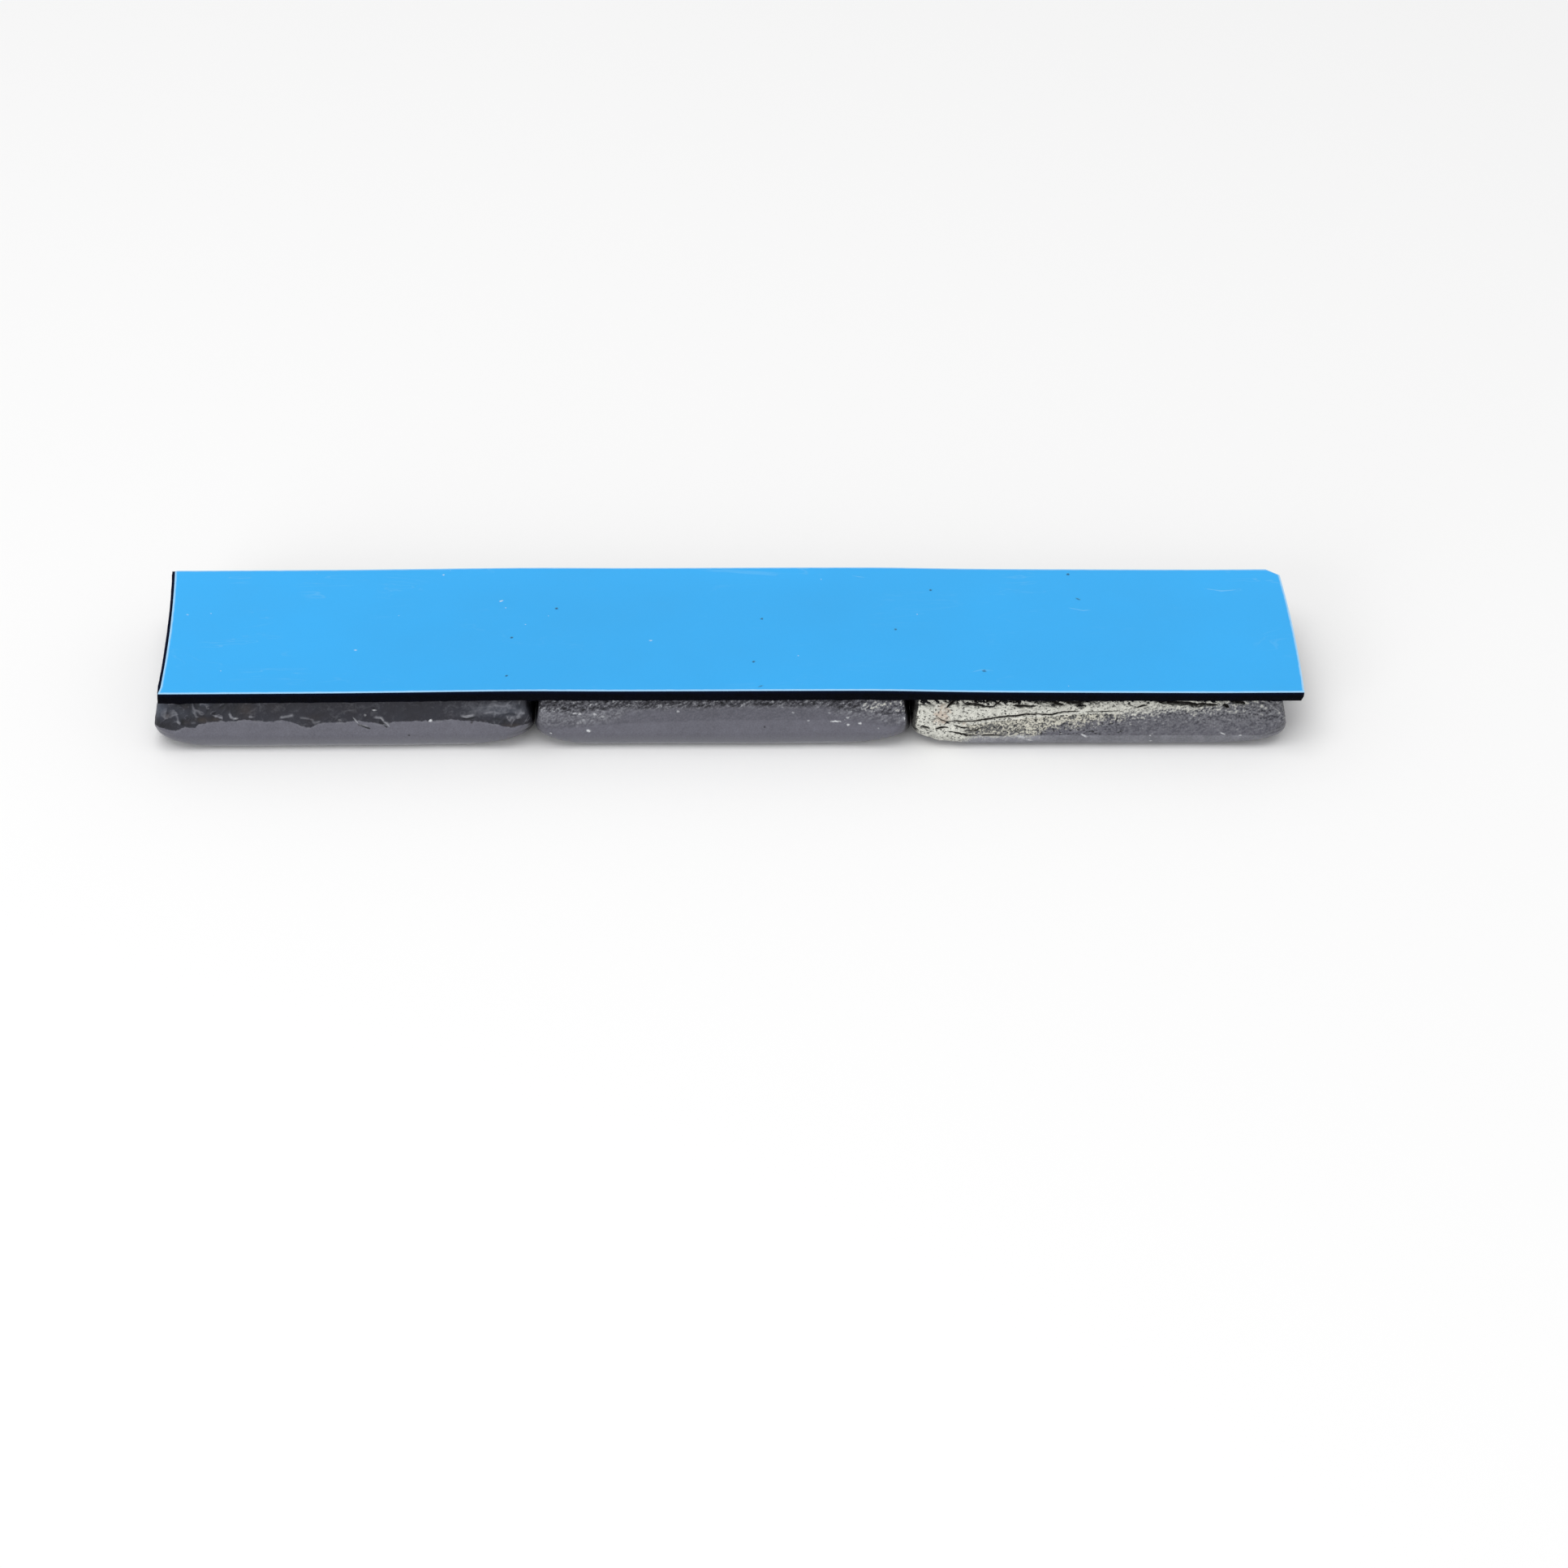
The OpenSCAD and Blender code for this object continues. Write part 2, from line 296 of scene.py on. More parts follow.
CREAM_EDGE = (
    (-20, 0.2), (-14.2, 0.7), (-13.4, 1.3), (-12.4, 1.9), (-9.4, 1.95), (-6.6, 2.1), (-5.2, 2.9),
    (-3.9, 3.1), (-1.2, 3.5), (1.2, 4.0), (3.0, 4.4), (5.2, 4.8), (7.2, 5.0), (11.5, 5.2), (12.6, 5.6),
    (14.5, 6.0), (16, 6.6), (20, 7.0),
)
CRACKS = (
    (0.085, ((-17.3, 3.6), (-16.4, 3.82), (-15.6, 3.43), (-14.5, 3.5), (-13.9, 3.4), (-12.3, 3.58),
             (-11.0, 3.78), (-9.0, 4.06), (-7.5, 4.24), (-6.2, 4.25), (-5.3, 4.18), (-3.6, 4.53),
             (-1.7, 4.6))),
    (0.04, ((-1.9, 4.6), (-0.5, 4.5), (1.0, 4.62), (2.2, 4.55))),
    (0.16, ((-15.6, 5.0), (-14.9, 5.6), (-14.2, 6.0))),
    (0.14, ((-14.0, 5.8), (-13.7, 5.4), (-12.7, 5.3), (-12.0, 5.14), (-10.9, 5.07), (-10.4, 5.55),
            (-9.9, 5.9))),
    (0.2, ((-13.2, 6.0), (-12.6, 5.75), (-11.9, 5.9))),
    (0.2, ((-11.6, 5.7), (-11.1, 5.85), (-10.9, 6.0))),
    (0.24, ((-9.9, 5.8), (-9.2, 6.0), (-8.4, 5.75), (-7.9, 6.0))),
    (0.15, ((-8.9, 5.3), (-8.3, 5.12), (-7.1, 5.12), (-6.5, 5.25))),
    (0.24, ((-7.6, 6.0), (-6.4, 5.75), (-4.9, 5.66), (-4.4, 5.36), (-3.7, 5.28))),
    (0.2, ((-4.4, 5.85), (-3.3, 5.63), (-2.3, 5.5), (-1.5, 5.84), (-0.5, 5.74), (1.2, 5.84))),
    (0.2, ((-2.4, 5.12), (-1.4, 5.16))),
    (0.16, ((-18.2, 2.85), (-17.6, 2.7), (-17.3, 2.66))),
    (0.12, ((-16.6, 2.66), (-16.0, 2.8), (-15.4, 2.78))),
    (0.1, ((-15.4, 2.35), (-14.4, 2.15), (-13.5, 1.9), (-12.3, 1.88))),
    (0.08, ((-13.8, 2.45), (-12.6, 2.46), (-11.9, 2.8))),
    (0.07, ((-14.9, 3.1), (-14.0, 2.75), (-13.2, 2.8))),
    (0.08, ((-12.2, 1.84), (-11.0, 1.9), (-9.6, 1.86))),
    (0.08, ((3.7, 5.0), (4.8, 5.4))),
    (0.24, ((5.5, 5.78), (6.7, 5.54), (7.8, 5.46), (9.0, 5.44), (9.8, 5.2), (10.5, 5.32), (11.9, 5.3))),
    (0.22, ((13.2, 5.72), (14.7, 5.4))),
    (0.2, ((12.5, 5.28), (13.1, 4.92))),
)
# The upper edge of the dull crust, a little below the main crack.
DULL_TOP = ((-17, 3.4), (-13, 3.3), (-9, 3.9), (-4, 4.3), (0, 4.5))
# A mark is its place, half length, half height, turn in degrees and tone from -1 dark to 1 bright.
LEFT_MARKS = (
    (9.1, 3.54, 0.2, 0.13, 30, 1), (3.4, 4.9, 0.16, 0.09, 0, -0.9), (3.45, 4.7, 0.2, 0.09, 0, 0.6),
    (2.5, 4.15, 0.15, 0.13, 0, 0.4), (6.9, 1.9, 0.12, 0.1, 0, -0.7), (-10.6, 3.76, 0.2, 0.12, 10, 0.4),
    (1.55, 3.5, 0.45, 0.08, -55, 0.45), (2.4, 2.98, 0.4, 0.07, -15, 0.4),
    (4.2, 3.7, 0.35, 0.09, -50, 0.4), (4.75, 3.1, 0.3, 0.07, -50, 0.4), (-0.1, 3.6, 0.2, 0.1, 0, 0.3),
    (12.9, 4.12, 0.35, 0.08, 10, 0.35),
)
MIDDLE_MARKS = (
    (-13.45, 2.44, 0.25, 0.16, -10, 1), (-12.77, 4.25, 0.16, 0.15, 0, 0.65),
    (-14.3, 4.3, 0.18, 0.14, 0, 0.65), (-12.0, 4.02, 0.2, 0.14, 10, 0.5),
    (-4.3, 4.57, 0.17, 0.14, 0, 0.6), (-13.9, 3.6, 0.16, 0.16, 0, 0.45),
    (-14.5, 3.3, 0.14, 0.12, 0, 0.4), (-17.3, 2.1, 0.14, 0.1, 0, 0.8), (2.0, 6.1, 0.2, 0.2, 0, -1),
    (11.75, 3.46, 0.55, 0.1, 0, 0.9), (13.0, 3.08, 0.18, 0.14, 0, 0.9),
    (14.2, 3.23, 0.17, 0.13, 0, 0.85), (12.95, 3.87, 0.16, 0.12, 0, 0.6),
    (8.95, 3.55, 0.14, 0.1, 0, 0.5), (16.1, 2.7, 0.12, 0.1, 0, 0.45), (4.5, 2.86, 0.12, 0.1, 0, -0.6),
    (7.4, 4.43, 0.16, 0.1, -20, 0.45), (11.1, 4.4, 0.18, 0.1, -20, 0.4),
)
RIGHT_MARKS = (
    (12.6, 2.1, 0.3, 0.08, -25, 0.9), (14.4, 1.87, 0.16, 0.1, 0, 0.9), (5.2, 1.87, 0.12, 0.08, 0, 0.8),
    (5.3, 1.0, 0.2, 0.1, 0, 0.9), (-17.8, 2.75, 0.35, 0.14, -10, -1), (-15.5, 3.35, 0.16, 0.14, 0, -1),
    (2.3, 5.74, 0.14, 0.12, 0, -1), (3.3, 5.7, 0.14, 0.12, 0, -1), (4.85, 5.6, 0.2, 0.12, 20, -1),
    (-9.6, 4.3, 0.1, 0.1, 0, -0.9), (-2.0, 5.14, 0.25, 0.12, 0, -1), (-7.95, 1.62, 0.52, 0.19, -25, 1),
    (-7.05, 1.15, 0.35, 0.13, -12, 0.9), (-1.5, 1.8, 0.38, 0.15, -35, 1),
)
# Marks and scratches on the liner lie in millimetres along and across from the strip's middle.
# A scratch or a crack is its half width and route.
LINER_MARKS = (
    (-23.6, 4.9, 0.2, 0.12, 20, 0.8), (-38.1, -3.6, 0.16, 0.12, 0, 0.6),
    (-7.9, -2.2, 0.18, 0.12, 0, 0.8), (-29.9, 9.8, 0.14, 0.1, 0, 0.6), (-56.0, 2.9, 0.14, 0.12, 0, 0.5),
    (-17.8, 3.5, 0.17, 0.19, 0, -1), (3.5, 1.6, 0.17, 0.18, 0, -0.9),
    (-22.2, -1.7, 0.16, 0.16, 0, -0.9), (2.7, -6.0, 0.2, 0.16, 30, -1),
    (-22.4, -8.4, 0.17, 0.15, 0, -0.9), (21.1, 6.9, 0.16, 0.16, 0, -0.9), (35.6, 10, 0.18, 0.18, 0, -1),
    (17.3, -0.3, 0.16, 0.16, 0, -0.9), (3.4, -10.3, 0.3, 0.1, 30, -0.7),
    (36.4, 5.5, 0.3, 0.14, -35, -0.7), (26.2, -7.4, 0.2, 0.26, 30, -0.7),
)
LINER_SCRATCHES = (
    (0.09, ((35.4, 3.9), (36.8, 3.4), (37.6, 3.5))),
    (0.07, ((25.0, -7.6), (25.9, -7.2), (27.0, -7.3))),
    (0.06, ((13.0, 9.4), (14.2, 9.1))),
    (0.12, ((50.0, 7.4), (51.5, 7.0), (53.0, 7.2))),
)

# How strongly painted shade darkens the left and the right side of each casting where they face the next
# one.
PAINTED_GAP_SHADE = {"weight_left": (0, 1), "weight_middle": (0.35, 1), "weight_right": (1, 0)}
# The heights on a wall were read as if the strip were straight. Seen from above, a wall that is
# bent back looks higher by this share of the bend.
BEND_AS_HEIGHT = 0.66
# Steps of the foam's and the liner's mesh along, across and up.
FOAM_STEPS = (720, 26, 8)
LINER_STEPS = (400, 64, 2)
# In millimetres: the rounded corner at the back of the liner's left end, and how much further left
# the liner and the foam reach at the front of that end.
LINER_CORNER = 0.26
LINER_CATCH_UP = 0.12
FOAM_CATCH_UP = -0.1
# Added to the scene's seed: for each casting after the first, for the foam and for the liner.
CASTING_SEEDS = 200
FOAM_SEED = 900
LINER_SEED = 950


def lattice(cells, seed):
    """Random numbers from 0 to 1, one for each row of three whole numbers.

    The three numbers and the seed are multiplied by large odd constants and added, and the
    sum's bits are stirred by shifting it down and multiplying it again.
    """
    key = cells.astype(np.int64).astype(np.uint32)
    factors = np.array([0x8DA6B343, 0xD8163841, 0xCB1AB31F], np.uint32)
    start = np.array(seed * 0x9E3779B9 % 2**32, np.uint32)
    total = (key * factors).sum(axis=-1, dtype=np.uint32) + start
    for shift, factor in ((15, 0x2C1B3C6D), (12, 0x297A2D39), (15, 1)):
        total = (total ^ (total >> np.uint32(shift))) * np.array([factor], np.uint32)
    return total / float(2**32)


def lattice_triple(cells, seed):
    """Three random numbers from 0 to 1 for each row of three whole numbers."""
    return np.stack([lattice(cells, seed + step) for step in (0, 31, 62)], axis=-1)


def swell(points, size, seed):
    """Smooth noise from about -1 to 1 whose bumps are about size across.

    Each corner of a cubic lattice has a random slope. At a point the eight slopes around it,
    each times the way from its corner, are blended by the weight 6t^5 - 15t^4 + 10t^3.
    """
    place = points / size
    base = np.floor(place)
    part = place - base
    weight = part**3 * (part * (part * 6 - 15) + 10)
    total = np.zeros(points.shape[:-1])
    for corner in np.ndindex(2, 2, 2):
        cell = base + corner
        slope = lattice_triple(cell, seed) * 2 - 1
        share = np.prod(np.where(corner, weight, 1 - weight), axis=-1)
        total += share * (slope * (part - corner)).sum(axis=-1)
    return total * 1.6


def rough(points, size, seed, octaves=4, gain=0.5):
    """A sum of swells, each half as wide as the one before and gain times as high."""
    steps = [gain**k * swell(points, size / 2**k, seed + 100 * k) for k in range(octaves)]
    return sum(steps)


def grains(points, size, seed):
    """Distance to the nearest and second nearest random centre, over size, and the nearest's number.

    Space is cut into cubes of that size with one centre somewhere in each, and the centres
    of a point's own cube and its 26 neighbours are compared.
    """
    place = points / size
    base = np.floor(place)
    first = np.full(points.shape[:-1], 9.0)
    second = first.copy()
    number = np.zeros_like(first)
    for step in np.ndindex(3, 3, 3):
        cell = base + np.array(step) - 1
        centre = cell + lattice_triple(cell, seed)
        away = np.sqrt(((place - centre) ** 2).sum(axis=-1))
        second = np.minimum(second, np.maximum(away, first))
        number = np.where(away < first, lattice(cell, seed + 93), number)
        first = np.minimum(first, away)
    return first, second, number


def ease(value, low, high):
    """0 below low, 1 above high, and the smooth step 3t^2 - 2t^3 between them."""
    part = np.clip((value - low) / (high - low), 0, 1)
    return part * part * (3 - 2 * part)


def ridge(value):
    """Turns smooth noise into narrow crests: 1 where it crosses 0, falling off on both sides."""
    return np.clip(1 - np.abs(value) * 3, 0, 1) ** 2


def nearest_on_line(place, corners):
    """Distance, side and share of the way of each place's foot on one bent line.

    Each straight piece of the line gives the place's foot on it, kept between the piece's ends,
    and the nearest foot counts. The side is the sign of the cross product of the piece and the
    way to the place.
    """
    corners = np.array(corners, float)
    steps = np.diff(corners, axis=0)
    lengths = np.hypot(steps[:, 0], steps[:, 1])
    starts = np.concatenate([[0], np.cumsum(lengths)])
    best = np.full(len(place), 1e3)
    side = np.ones(len(place))
    along = np.zeros(len(place))
    for start, step, span, before in zip(corners, steps, lengths, starts):
        offset = place - start
        part = np.clip((offset @ step) / span**2, 0, 1)
        away = np.linalg.norm(offset - part[:, None] * step, axis=1)
        nearer = away < best
        best = np.where(nearer, away, best)
        side = np.where(nearer, np.sign(step[0] * offset[:, 1] - step[1] * offset[:, 0]), side)
        along = np.where(nearer, (before + part * span) / starts[-1], along)
    return best, side, along


def line_field(place, lines):
    """Signed distance of each place to the nearest bent line, and how wide that line is there.

    The sign is the side of the line, so the distance runs straight through zero on it. The
    width is the line's own, times the root of 4s(1 - s) + 0.02, where s runs from 0 to 1 along
    it. It is 0 further off, and halfway between two lines, where the sign may turn.
    """
    best = np.full(len(place), 1e3)
    second = best.copy()
    signed = best.copy()
    width = np.zeros(len(place))
    for wide, corners in lines:
        away, side, along = nearest_on_line(place, corners)
        second = np.minimum(second, np.maximum(away, best))
        nearer = away < best
        best = np.where(nearer, away, best)
        signed = np.where(nearer, away * side, signed)
        width = np.where(nearer, wide * np.sqrt(4 * along * (1 - along) + 0.02), width)
    halfway, inner, outer = 0.26, 1.2, 4
    between = (second - best < halfway) & (best > inner * width)
    return signed, width * (best < outer * width + 0.2) * ~between


def painted(place, strokes, patches):
    """Tone and tint that the listed strokes and round patches give each place.

    A stroke adds its tone times exp(-(d/w)^2), where d is the distance to it and w its half
    width, less towards its ends. A patch adds its tone and tint times exp(-(u^2 + v^2)), where
    u and v are the offsets along and up over its two radii.
    """
    tone = np.zeros(len(place))
    tint = np.zeros(len(place))
    for strength, wide, *corners in strokes:
        away, _, along = nearest_on_line(place, corners)
        taper = np.clip(8 * along * (1 - along) + 0.35, 0, 1)
        tone += strength * taper * np.exp(-((away / wide) ** 2))
    for along, up, long, high, strength, hue in patches:
        share = np.exp(-(((place[:, 0] - along) / long) ** 2) - ((place[:, 1] - up) / high) ** 2)
        tone += strength * share
        tint += hue * share
    return tone, tint


def mark_field(place, marks):
    """Each place's offset from the nearest mark, in the mark's own half lengths, and its tone.

    The offset is turned by the mark's angle and divided by its half length and half height, so
    the mark is where the offset is shorter than 1. Past 3 the tone is 0.
    """
    best = np.full(len(place), 1e3)
    field = np.tile([9.0, 9.0, 0.0], (len(place), 1))
    for along, up, long, high, turn, tone in marks:
        cosine, sine = np.cos(np.radians(turn)), np.sin(np.radians(turn))
        offset = place - np.array([along, up])
        local = np.stack([
            (offset[:, 0] * cosine + offset[:, 1] * sine) / long,
            (offset[:, 1] * cosine - offset[:, 0] * sine) / high,
            np.full(len(place), float(tone)),
        ], axis=1)
        away = np.hypot(local[:, 0], local[:, 1])
        nearer = away < best
        best = np.where(nearer, away, best)
        field = np.where(nearer[:, None], local, field)
    field[:, 2] *= best < 3
    return field


def eased_curve(stops, along):
    """Height of a curve through stops at each place along it, with its corners smoothed away.

    The straight joined curve is averaged over a bell shaped window about 15 mm wide.
    """
    reach, step, half_window = 75, 0.5, 15
    stops = np.array(stops, float)
    fine = np.arange(-reach, reach, step)
    level = np.interp(fine, stops[:, 0], stops[:, 1])
    window = np.hanning(2 * half_window + 1)
    level = np.pad(level, half_window, mode="edge")
    smooth = np.convolve(level, window / window.sum(), mode="valid")
    return np.interp(along, fine, smooth)


def node_box(node):
    """The low and the high corner of a node of the frame, in millimetres."""
    return (np.array(corner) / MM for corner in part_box(node))


def settle(points, top=None):
    """Bends points across with the strip and lifts them with the tape, fully or by height over top."""
    along = points[..., 0]
    share = 1.0 if top is None else points[..., 2] / top
    moved = points.copy()
    moved[..., 1] += eased_curve(STRIP_BEND, along)
    moved[..., 2] += eased_curve(TAPE_RISE, along) * share
    return moved


def make_mesh(name, points, faces, fields, material, sharp_angle=None):
    """A mesh object from points in millimetres, lists of equal-sided faces and named point fields.

    It is smooth, but for edges that bend by more than the sharp angle, in degrees.
    """
    mesh = bpy.data.meshes.new(name)
    mesh.vertices.add(len(points))
    mesh.vertices.foreach_set("co", (points * MM).astype(np.float32).ravel())
    corners = np.concatenate([group.ravel() for group in faces]).astype(np.int32)
    sides = np.concatenate([np.full(len(group), group.shape[1]) for group in faces])
    starts = np.concatenate([[0], np.cumsum(sides)[:-1]]).astype(np.int32)
    mesh.loops.add(len(corners))
    mesh.loops.foreach_set("vertex_index", corners)
    mesh.polygons.add(len(starts))
    mesh.polygons.foreach_set("loop_start", starts)
    mesh.polygons.foreach_set("use_smooth", np.ones(len(starts), bool))
    mesh.update(calc_edges=True)
    if mesh.validate():
        raise RuntimeError(f"{name}: the mesh had faulty faces")
    for field, values in fields.items():
        flat = values.ndim == 1
        layer = mesh.attributes.new(field, "FLOAT" if flat else "FLOAT_VECTOR", "POINT")
        layer.data.foreach_set("value" if flat else "vector", values.astype(np.float32).ravel())
    if sharp_angle is not None:
        mesh.set_sharp_from_angle(angle=np.radians(sharp_angle))
    mesh.materials.append(material)
    piece = bpy.data.objects.new(name, mesh)
    bpy.context.scene.collection.objects.link(piece)
    return piece


def arithmetic(operation, flipped=False):
    """A method that joins a Value and another number by one Math node, in either order."""

    def method(self, other):
        return self.graph.math(operation, *((other, self) if flipped else (self, other)))

    return method


class Value:
    """A number that varies over a surface, held by one shader socket. Arithmetic adds Math nodes."""

    def __init__(self, graph, socket):
        self.graph = graph
        self.socket = socket

    __add__ = __radd__ = arithmetic("ADD")
    __mul__ = __rmul__ = arithmetic("MULTIPLY")
    __sub__, __rsub__ = arithmetic("SUBTRACT"), arithmetic("SUBTRACT", flipped=True)
    __truediv__, __rtruediv__ = arithmetic("DIVIDE"), arithmetic("DIVIDE", flipped=True)
    larger = arithmetic("MAXIMUM")

    def __neg__(self):
        return self * -1

    def __abs__(self):
        return self.graph.math("ABSOLUTE", self)

    def ease(self, low, high):
        """0 below low, 1 above high and a smooth step between, which may run downwards."""
        node = self.graph.node(
            "ShaderNodeMapRange",
            {"interpolation_type": "SMOOTHSTEP"},
            {"Value": self, "From Min": low, "From Max": high},
        )
        return Value(self.graph, node.outputs["Result"])


class Graph:
    """The node tree of one material or of the world. Patterns read Object coordinates in millimetres."""

    def __init__(self, owner):
        owner.use_nodes = True
        self.owner = owner
        self.tree = owner.node_tree
        self.tree.nodes.clear()
        self.spot = None

    def node(self, kind, settings=None, inputs=None):
        """Adds a node of a kind, sets its settings, then feeds its sockets with values or links."""
        node = self.tree.nodes.new(kind)
        for name, value in (settings or {}).items():
            setattr(node, name, value)
        for name, value in (inputs or {}).items():
            socket = node.inputs[name]
            if isinstance(value, Value):
                value = value.socket
            if isinstance(value, bpy.types.NodeSocket):
                self.tree.links.new(value, socket)
            else:
                socket.default_value = value
        return node

    def math(self, operation, *values):
        """One Math node on values or numbers."""
        node = self.node("ShaderNodeMath", {"operation": operation}, dict(enumerate(values)))
        return Value(self, node.outputs[0])

    def vector(self, operation, *values):
        """One Vector Math node, as a vector."""
        node = self.node("ShaderNodeVectorMath", {"operation": operation}, dict(enumerate(values)))
        return node.outputs[0]

    def place(self):
        """The place on the object in millimetres."""
        if self.spot is None:
            metres = self.node("ShaderNodeTexCoord").outputs["Object"]
            self.spot = self.vector("MULTIPLY", metres, (1 / MM,) * 3)
        return self.spot

    def stretched(self, along, across, up, turn=0.0):
        """The place turned in the upright plane, then divided by a number for each axis.

        Patterns on it grow along each axis by that axis' number.
        """
        place = self.place()
        if turn:
            settings = {"rotation_type": "Y_AXIS"}
            inputs = {"Vector": place, "Angle": np.radians(turn)}
            place = self.node("ShaderNodeVectorRotate", settings, inputs).outputs[0]
        return self.vector("MULTIPLY", place, (1 / along, 1 / across, 1 / up))

    def distance(self):
        """How far a point lies from the origin, in millimetres."""
        node = self.node("ShaderNodeVectorMath", {"operation": "LENGTH"}, {0: self.place()})
        return Value(self, node.outputs["Value"])

    def mix(self, share, first, second):
        """A colour from first to second as share goes from 0 to 1."""
        pair = [c if isinstance(c, bpy.types.NodeSocket) else (*c, 1.0) for c in (first, second)]
        node = self.node("ShaderNodeMix", {"data_type": "RGBA"}, {0: share, 6: pair[0], 7: pair[1]})
        return node.outputs[2]

    def shades(self, tone, base, darkest, lightest):
        """A colour times two factors, from the first to the second as tone goes from 0 to 1."""
        return self.mix(tone, scaled(base, darkest), scaled(base, lightest))

    def layers(self, paint, *coats):
        """A colour with others laid over it in turn, each given as its share and its colour."""
        for share, over in coats:
            paint = self.mix(share, paint, over)
        return paint

    def noise(self, size, detail=2.0, roughness=0.5, distortion=0.0, place=None):
        """Noise round 0, from about -0.5 to 0.5, with bumps about size millimetres across."""
        node = self.node("ShaderNodeTexNoise", {}, {
            "Vector": place or self.place(), "Scale": 1 / size, "Detail": detail,
            "Roughness": roughness, "Distortion": distortion,
        })
        return Value(self, node.outputs["Fac"]) - 0.5

    def cells(self, size):
        """Distance from the middle of the nearest random cell, in sizes. Cells are about size across."""
        node = self.node("ShaderNodeTexVoronoi", {}, {"Vector": self.place(), "Scale": 1 / size})
        return Value(self, node.outputs["Distance"])

    def field(self, name):
        """A point field of the mesh, as a number."""
        node = self.node("ShaderNodeAttribute", {"attribute_name": name})
        return Value(self, node.outputs["Fac"])

    def marks(self):
        """How deep inside a bright and inside a dark mark a point is, from 0 outside to 1."""
        node = self.node("ShaderNodeAttribute", {"attribute_name": "mark"})
        parts = self.node("ShaderNodeSeparateXYZ", {}, {0: node.outputs["Vector"]})
        across, up, tone = (Value(self, parts.outputs[k]) for k in range(3))
        ragged = self.math("SQRT", across * across + up * up) + self.noise(0.14, 2, 0.6) * 1.8
        inside = ragged.ease(1.3, 0.4)
        return inside * tone.ease(0.1, 1.0), inside * tone.ease(-0.1, -1.0)

    def line(self, wobble):
        """1 in the middle of the nearest drawn line, 0 past its width, which comes and goes a little."""
        distance = self.field("line") + self.noise(0.4, 3, 0.6) * wobble * 2
        share = abs(distance) / (self.field("line_width") * (self.noise(0.8, 2) * 1.6 + 1.05) + 0.0001)
        return share.ease(1.2, 0.4)

    def surface(self, paint, roughness, height, depth, others):
        """Ends the graph in one shader whose bump is height times depth millimetres.

        The others are further sockets of the shader, by name.
        """
        bump = self.node("ShaderNodeBump", {}, {"Strength": 1.0, "Distance": depth * MM, "Height": height})
        sockets = {"Base Color": paint, "Roughness": roughness, "Normal": bump.outputs["Normal"]}
        shader = self.node("ShaderNodeBsdfPrincipled", {}, {**sockets, **others})
        self.node("ShaderNodeOutputMaterial", {}, {"Surface": shader.outputs[0]})
        return self.owner


def new_material(name):
    """The empty graph of a new material."""
    return Graph(bpy.data.materials.new(name))


# The castings reflect little by themselves. What gloss the coat has comes from its clear layer.
LEAD_GLOSS = {"Specular IOR Level": 0.25, "Coat Roughness": 0.25}
# Linear colour of the dust in the foam's cells.
FOAM_DUST = (0.1, 0.1, 0.12)


def scaled(colour, factor):
    """A colour made lighter or darker by a factor, at most white."""
    return tuple(min(1.0, part * factor) for part in colour)


def lower_edge_highlight_and_gloss(graph):
    """1 on the turn from the crown to the outer face, 0 above it: where a painted highlight and extra coat
    gloss go.
    """
    return (graph.field("height") + graph.noise(0.8, 3, 0.6) * 0.25).ease(0.9, 0.45)


def coat_layers(graph, finish):
    """Colour, roughness and bump of the smooth grey coat.

    It has slow clouds, faint mottling and fine dust. Painted light makes its lower walls paler and
    gives its lower edge a painted highlight, against the shade under the crown, and painted shade
    darkens it where it faces the next casting.
    """
    mottle = graph.noise(0.8, 3, 0.6)
    fleck = graph.noise(0.16, 2, 0.6)
    paint = graph.layers(
        graph.shades(graph.noise(7.0, 3) * 0.5 + mottle * 0.6 + fleck * 1.1 + 0.5, finish.coat, 0.7, 1.34),
        # Painted light: the walls turn paler towards the crown, against the shade that falls there.
        ((graph.field("height") + mottle * 0.3).ease(2.2, 0.5) * 0.6, finish.ridge),
        # Painted highlight along the lower edge.
        (lower_edge_highlight_and_gloss(graph) * 0.3, finish.chip_and_edge_highlight),
        # Painted shade where the casting faces its neighbour.
        (graph.field("gap_shade") * 0.85, finish.groove),
    )
    return paint, mottle * 0.16 + 0.42, mottle * 0.5 + fleck * 0.35 + graph.noise(2.2, 2) * 0.8


def lead_surface(graph, finish, paint, roughness, bump, depth, dull, rubbed=1.0):
    """Ends a casting's graph, after adding the chips and pits of the mark field.

    The coat's gloss is missing by the share dull, and the rubbed lower edge adds to it.
    """
    bright, dark = graph.marks()
    paint = graph.layers(paint, (bright, finish.chip_and_edge_highlight), (dark, finish.groove))
    bump = bump - dark * 1.5 + bright * 0.6
    gloss = (1 - dull) * finish.gloss + lower_edge_highlight_and_gloss(graph) * rubbed * 0.3
    return graph.surface(paint, roughness + dark * 0.3, bump, depth, {**LEAD_GLOSS, "Coat Weight": gloss})


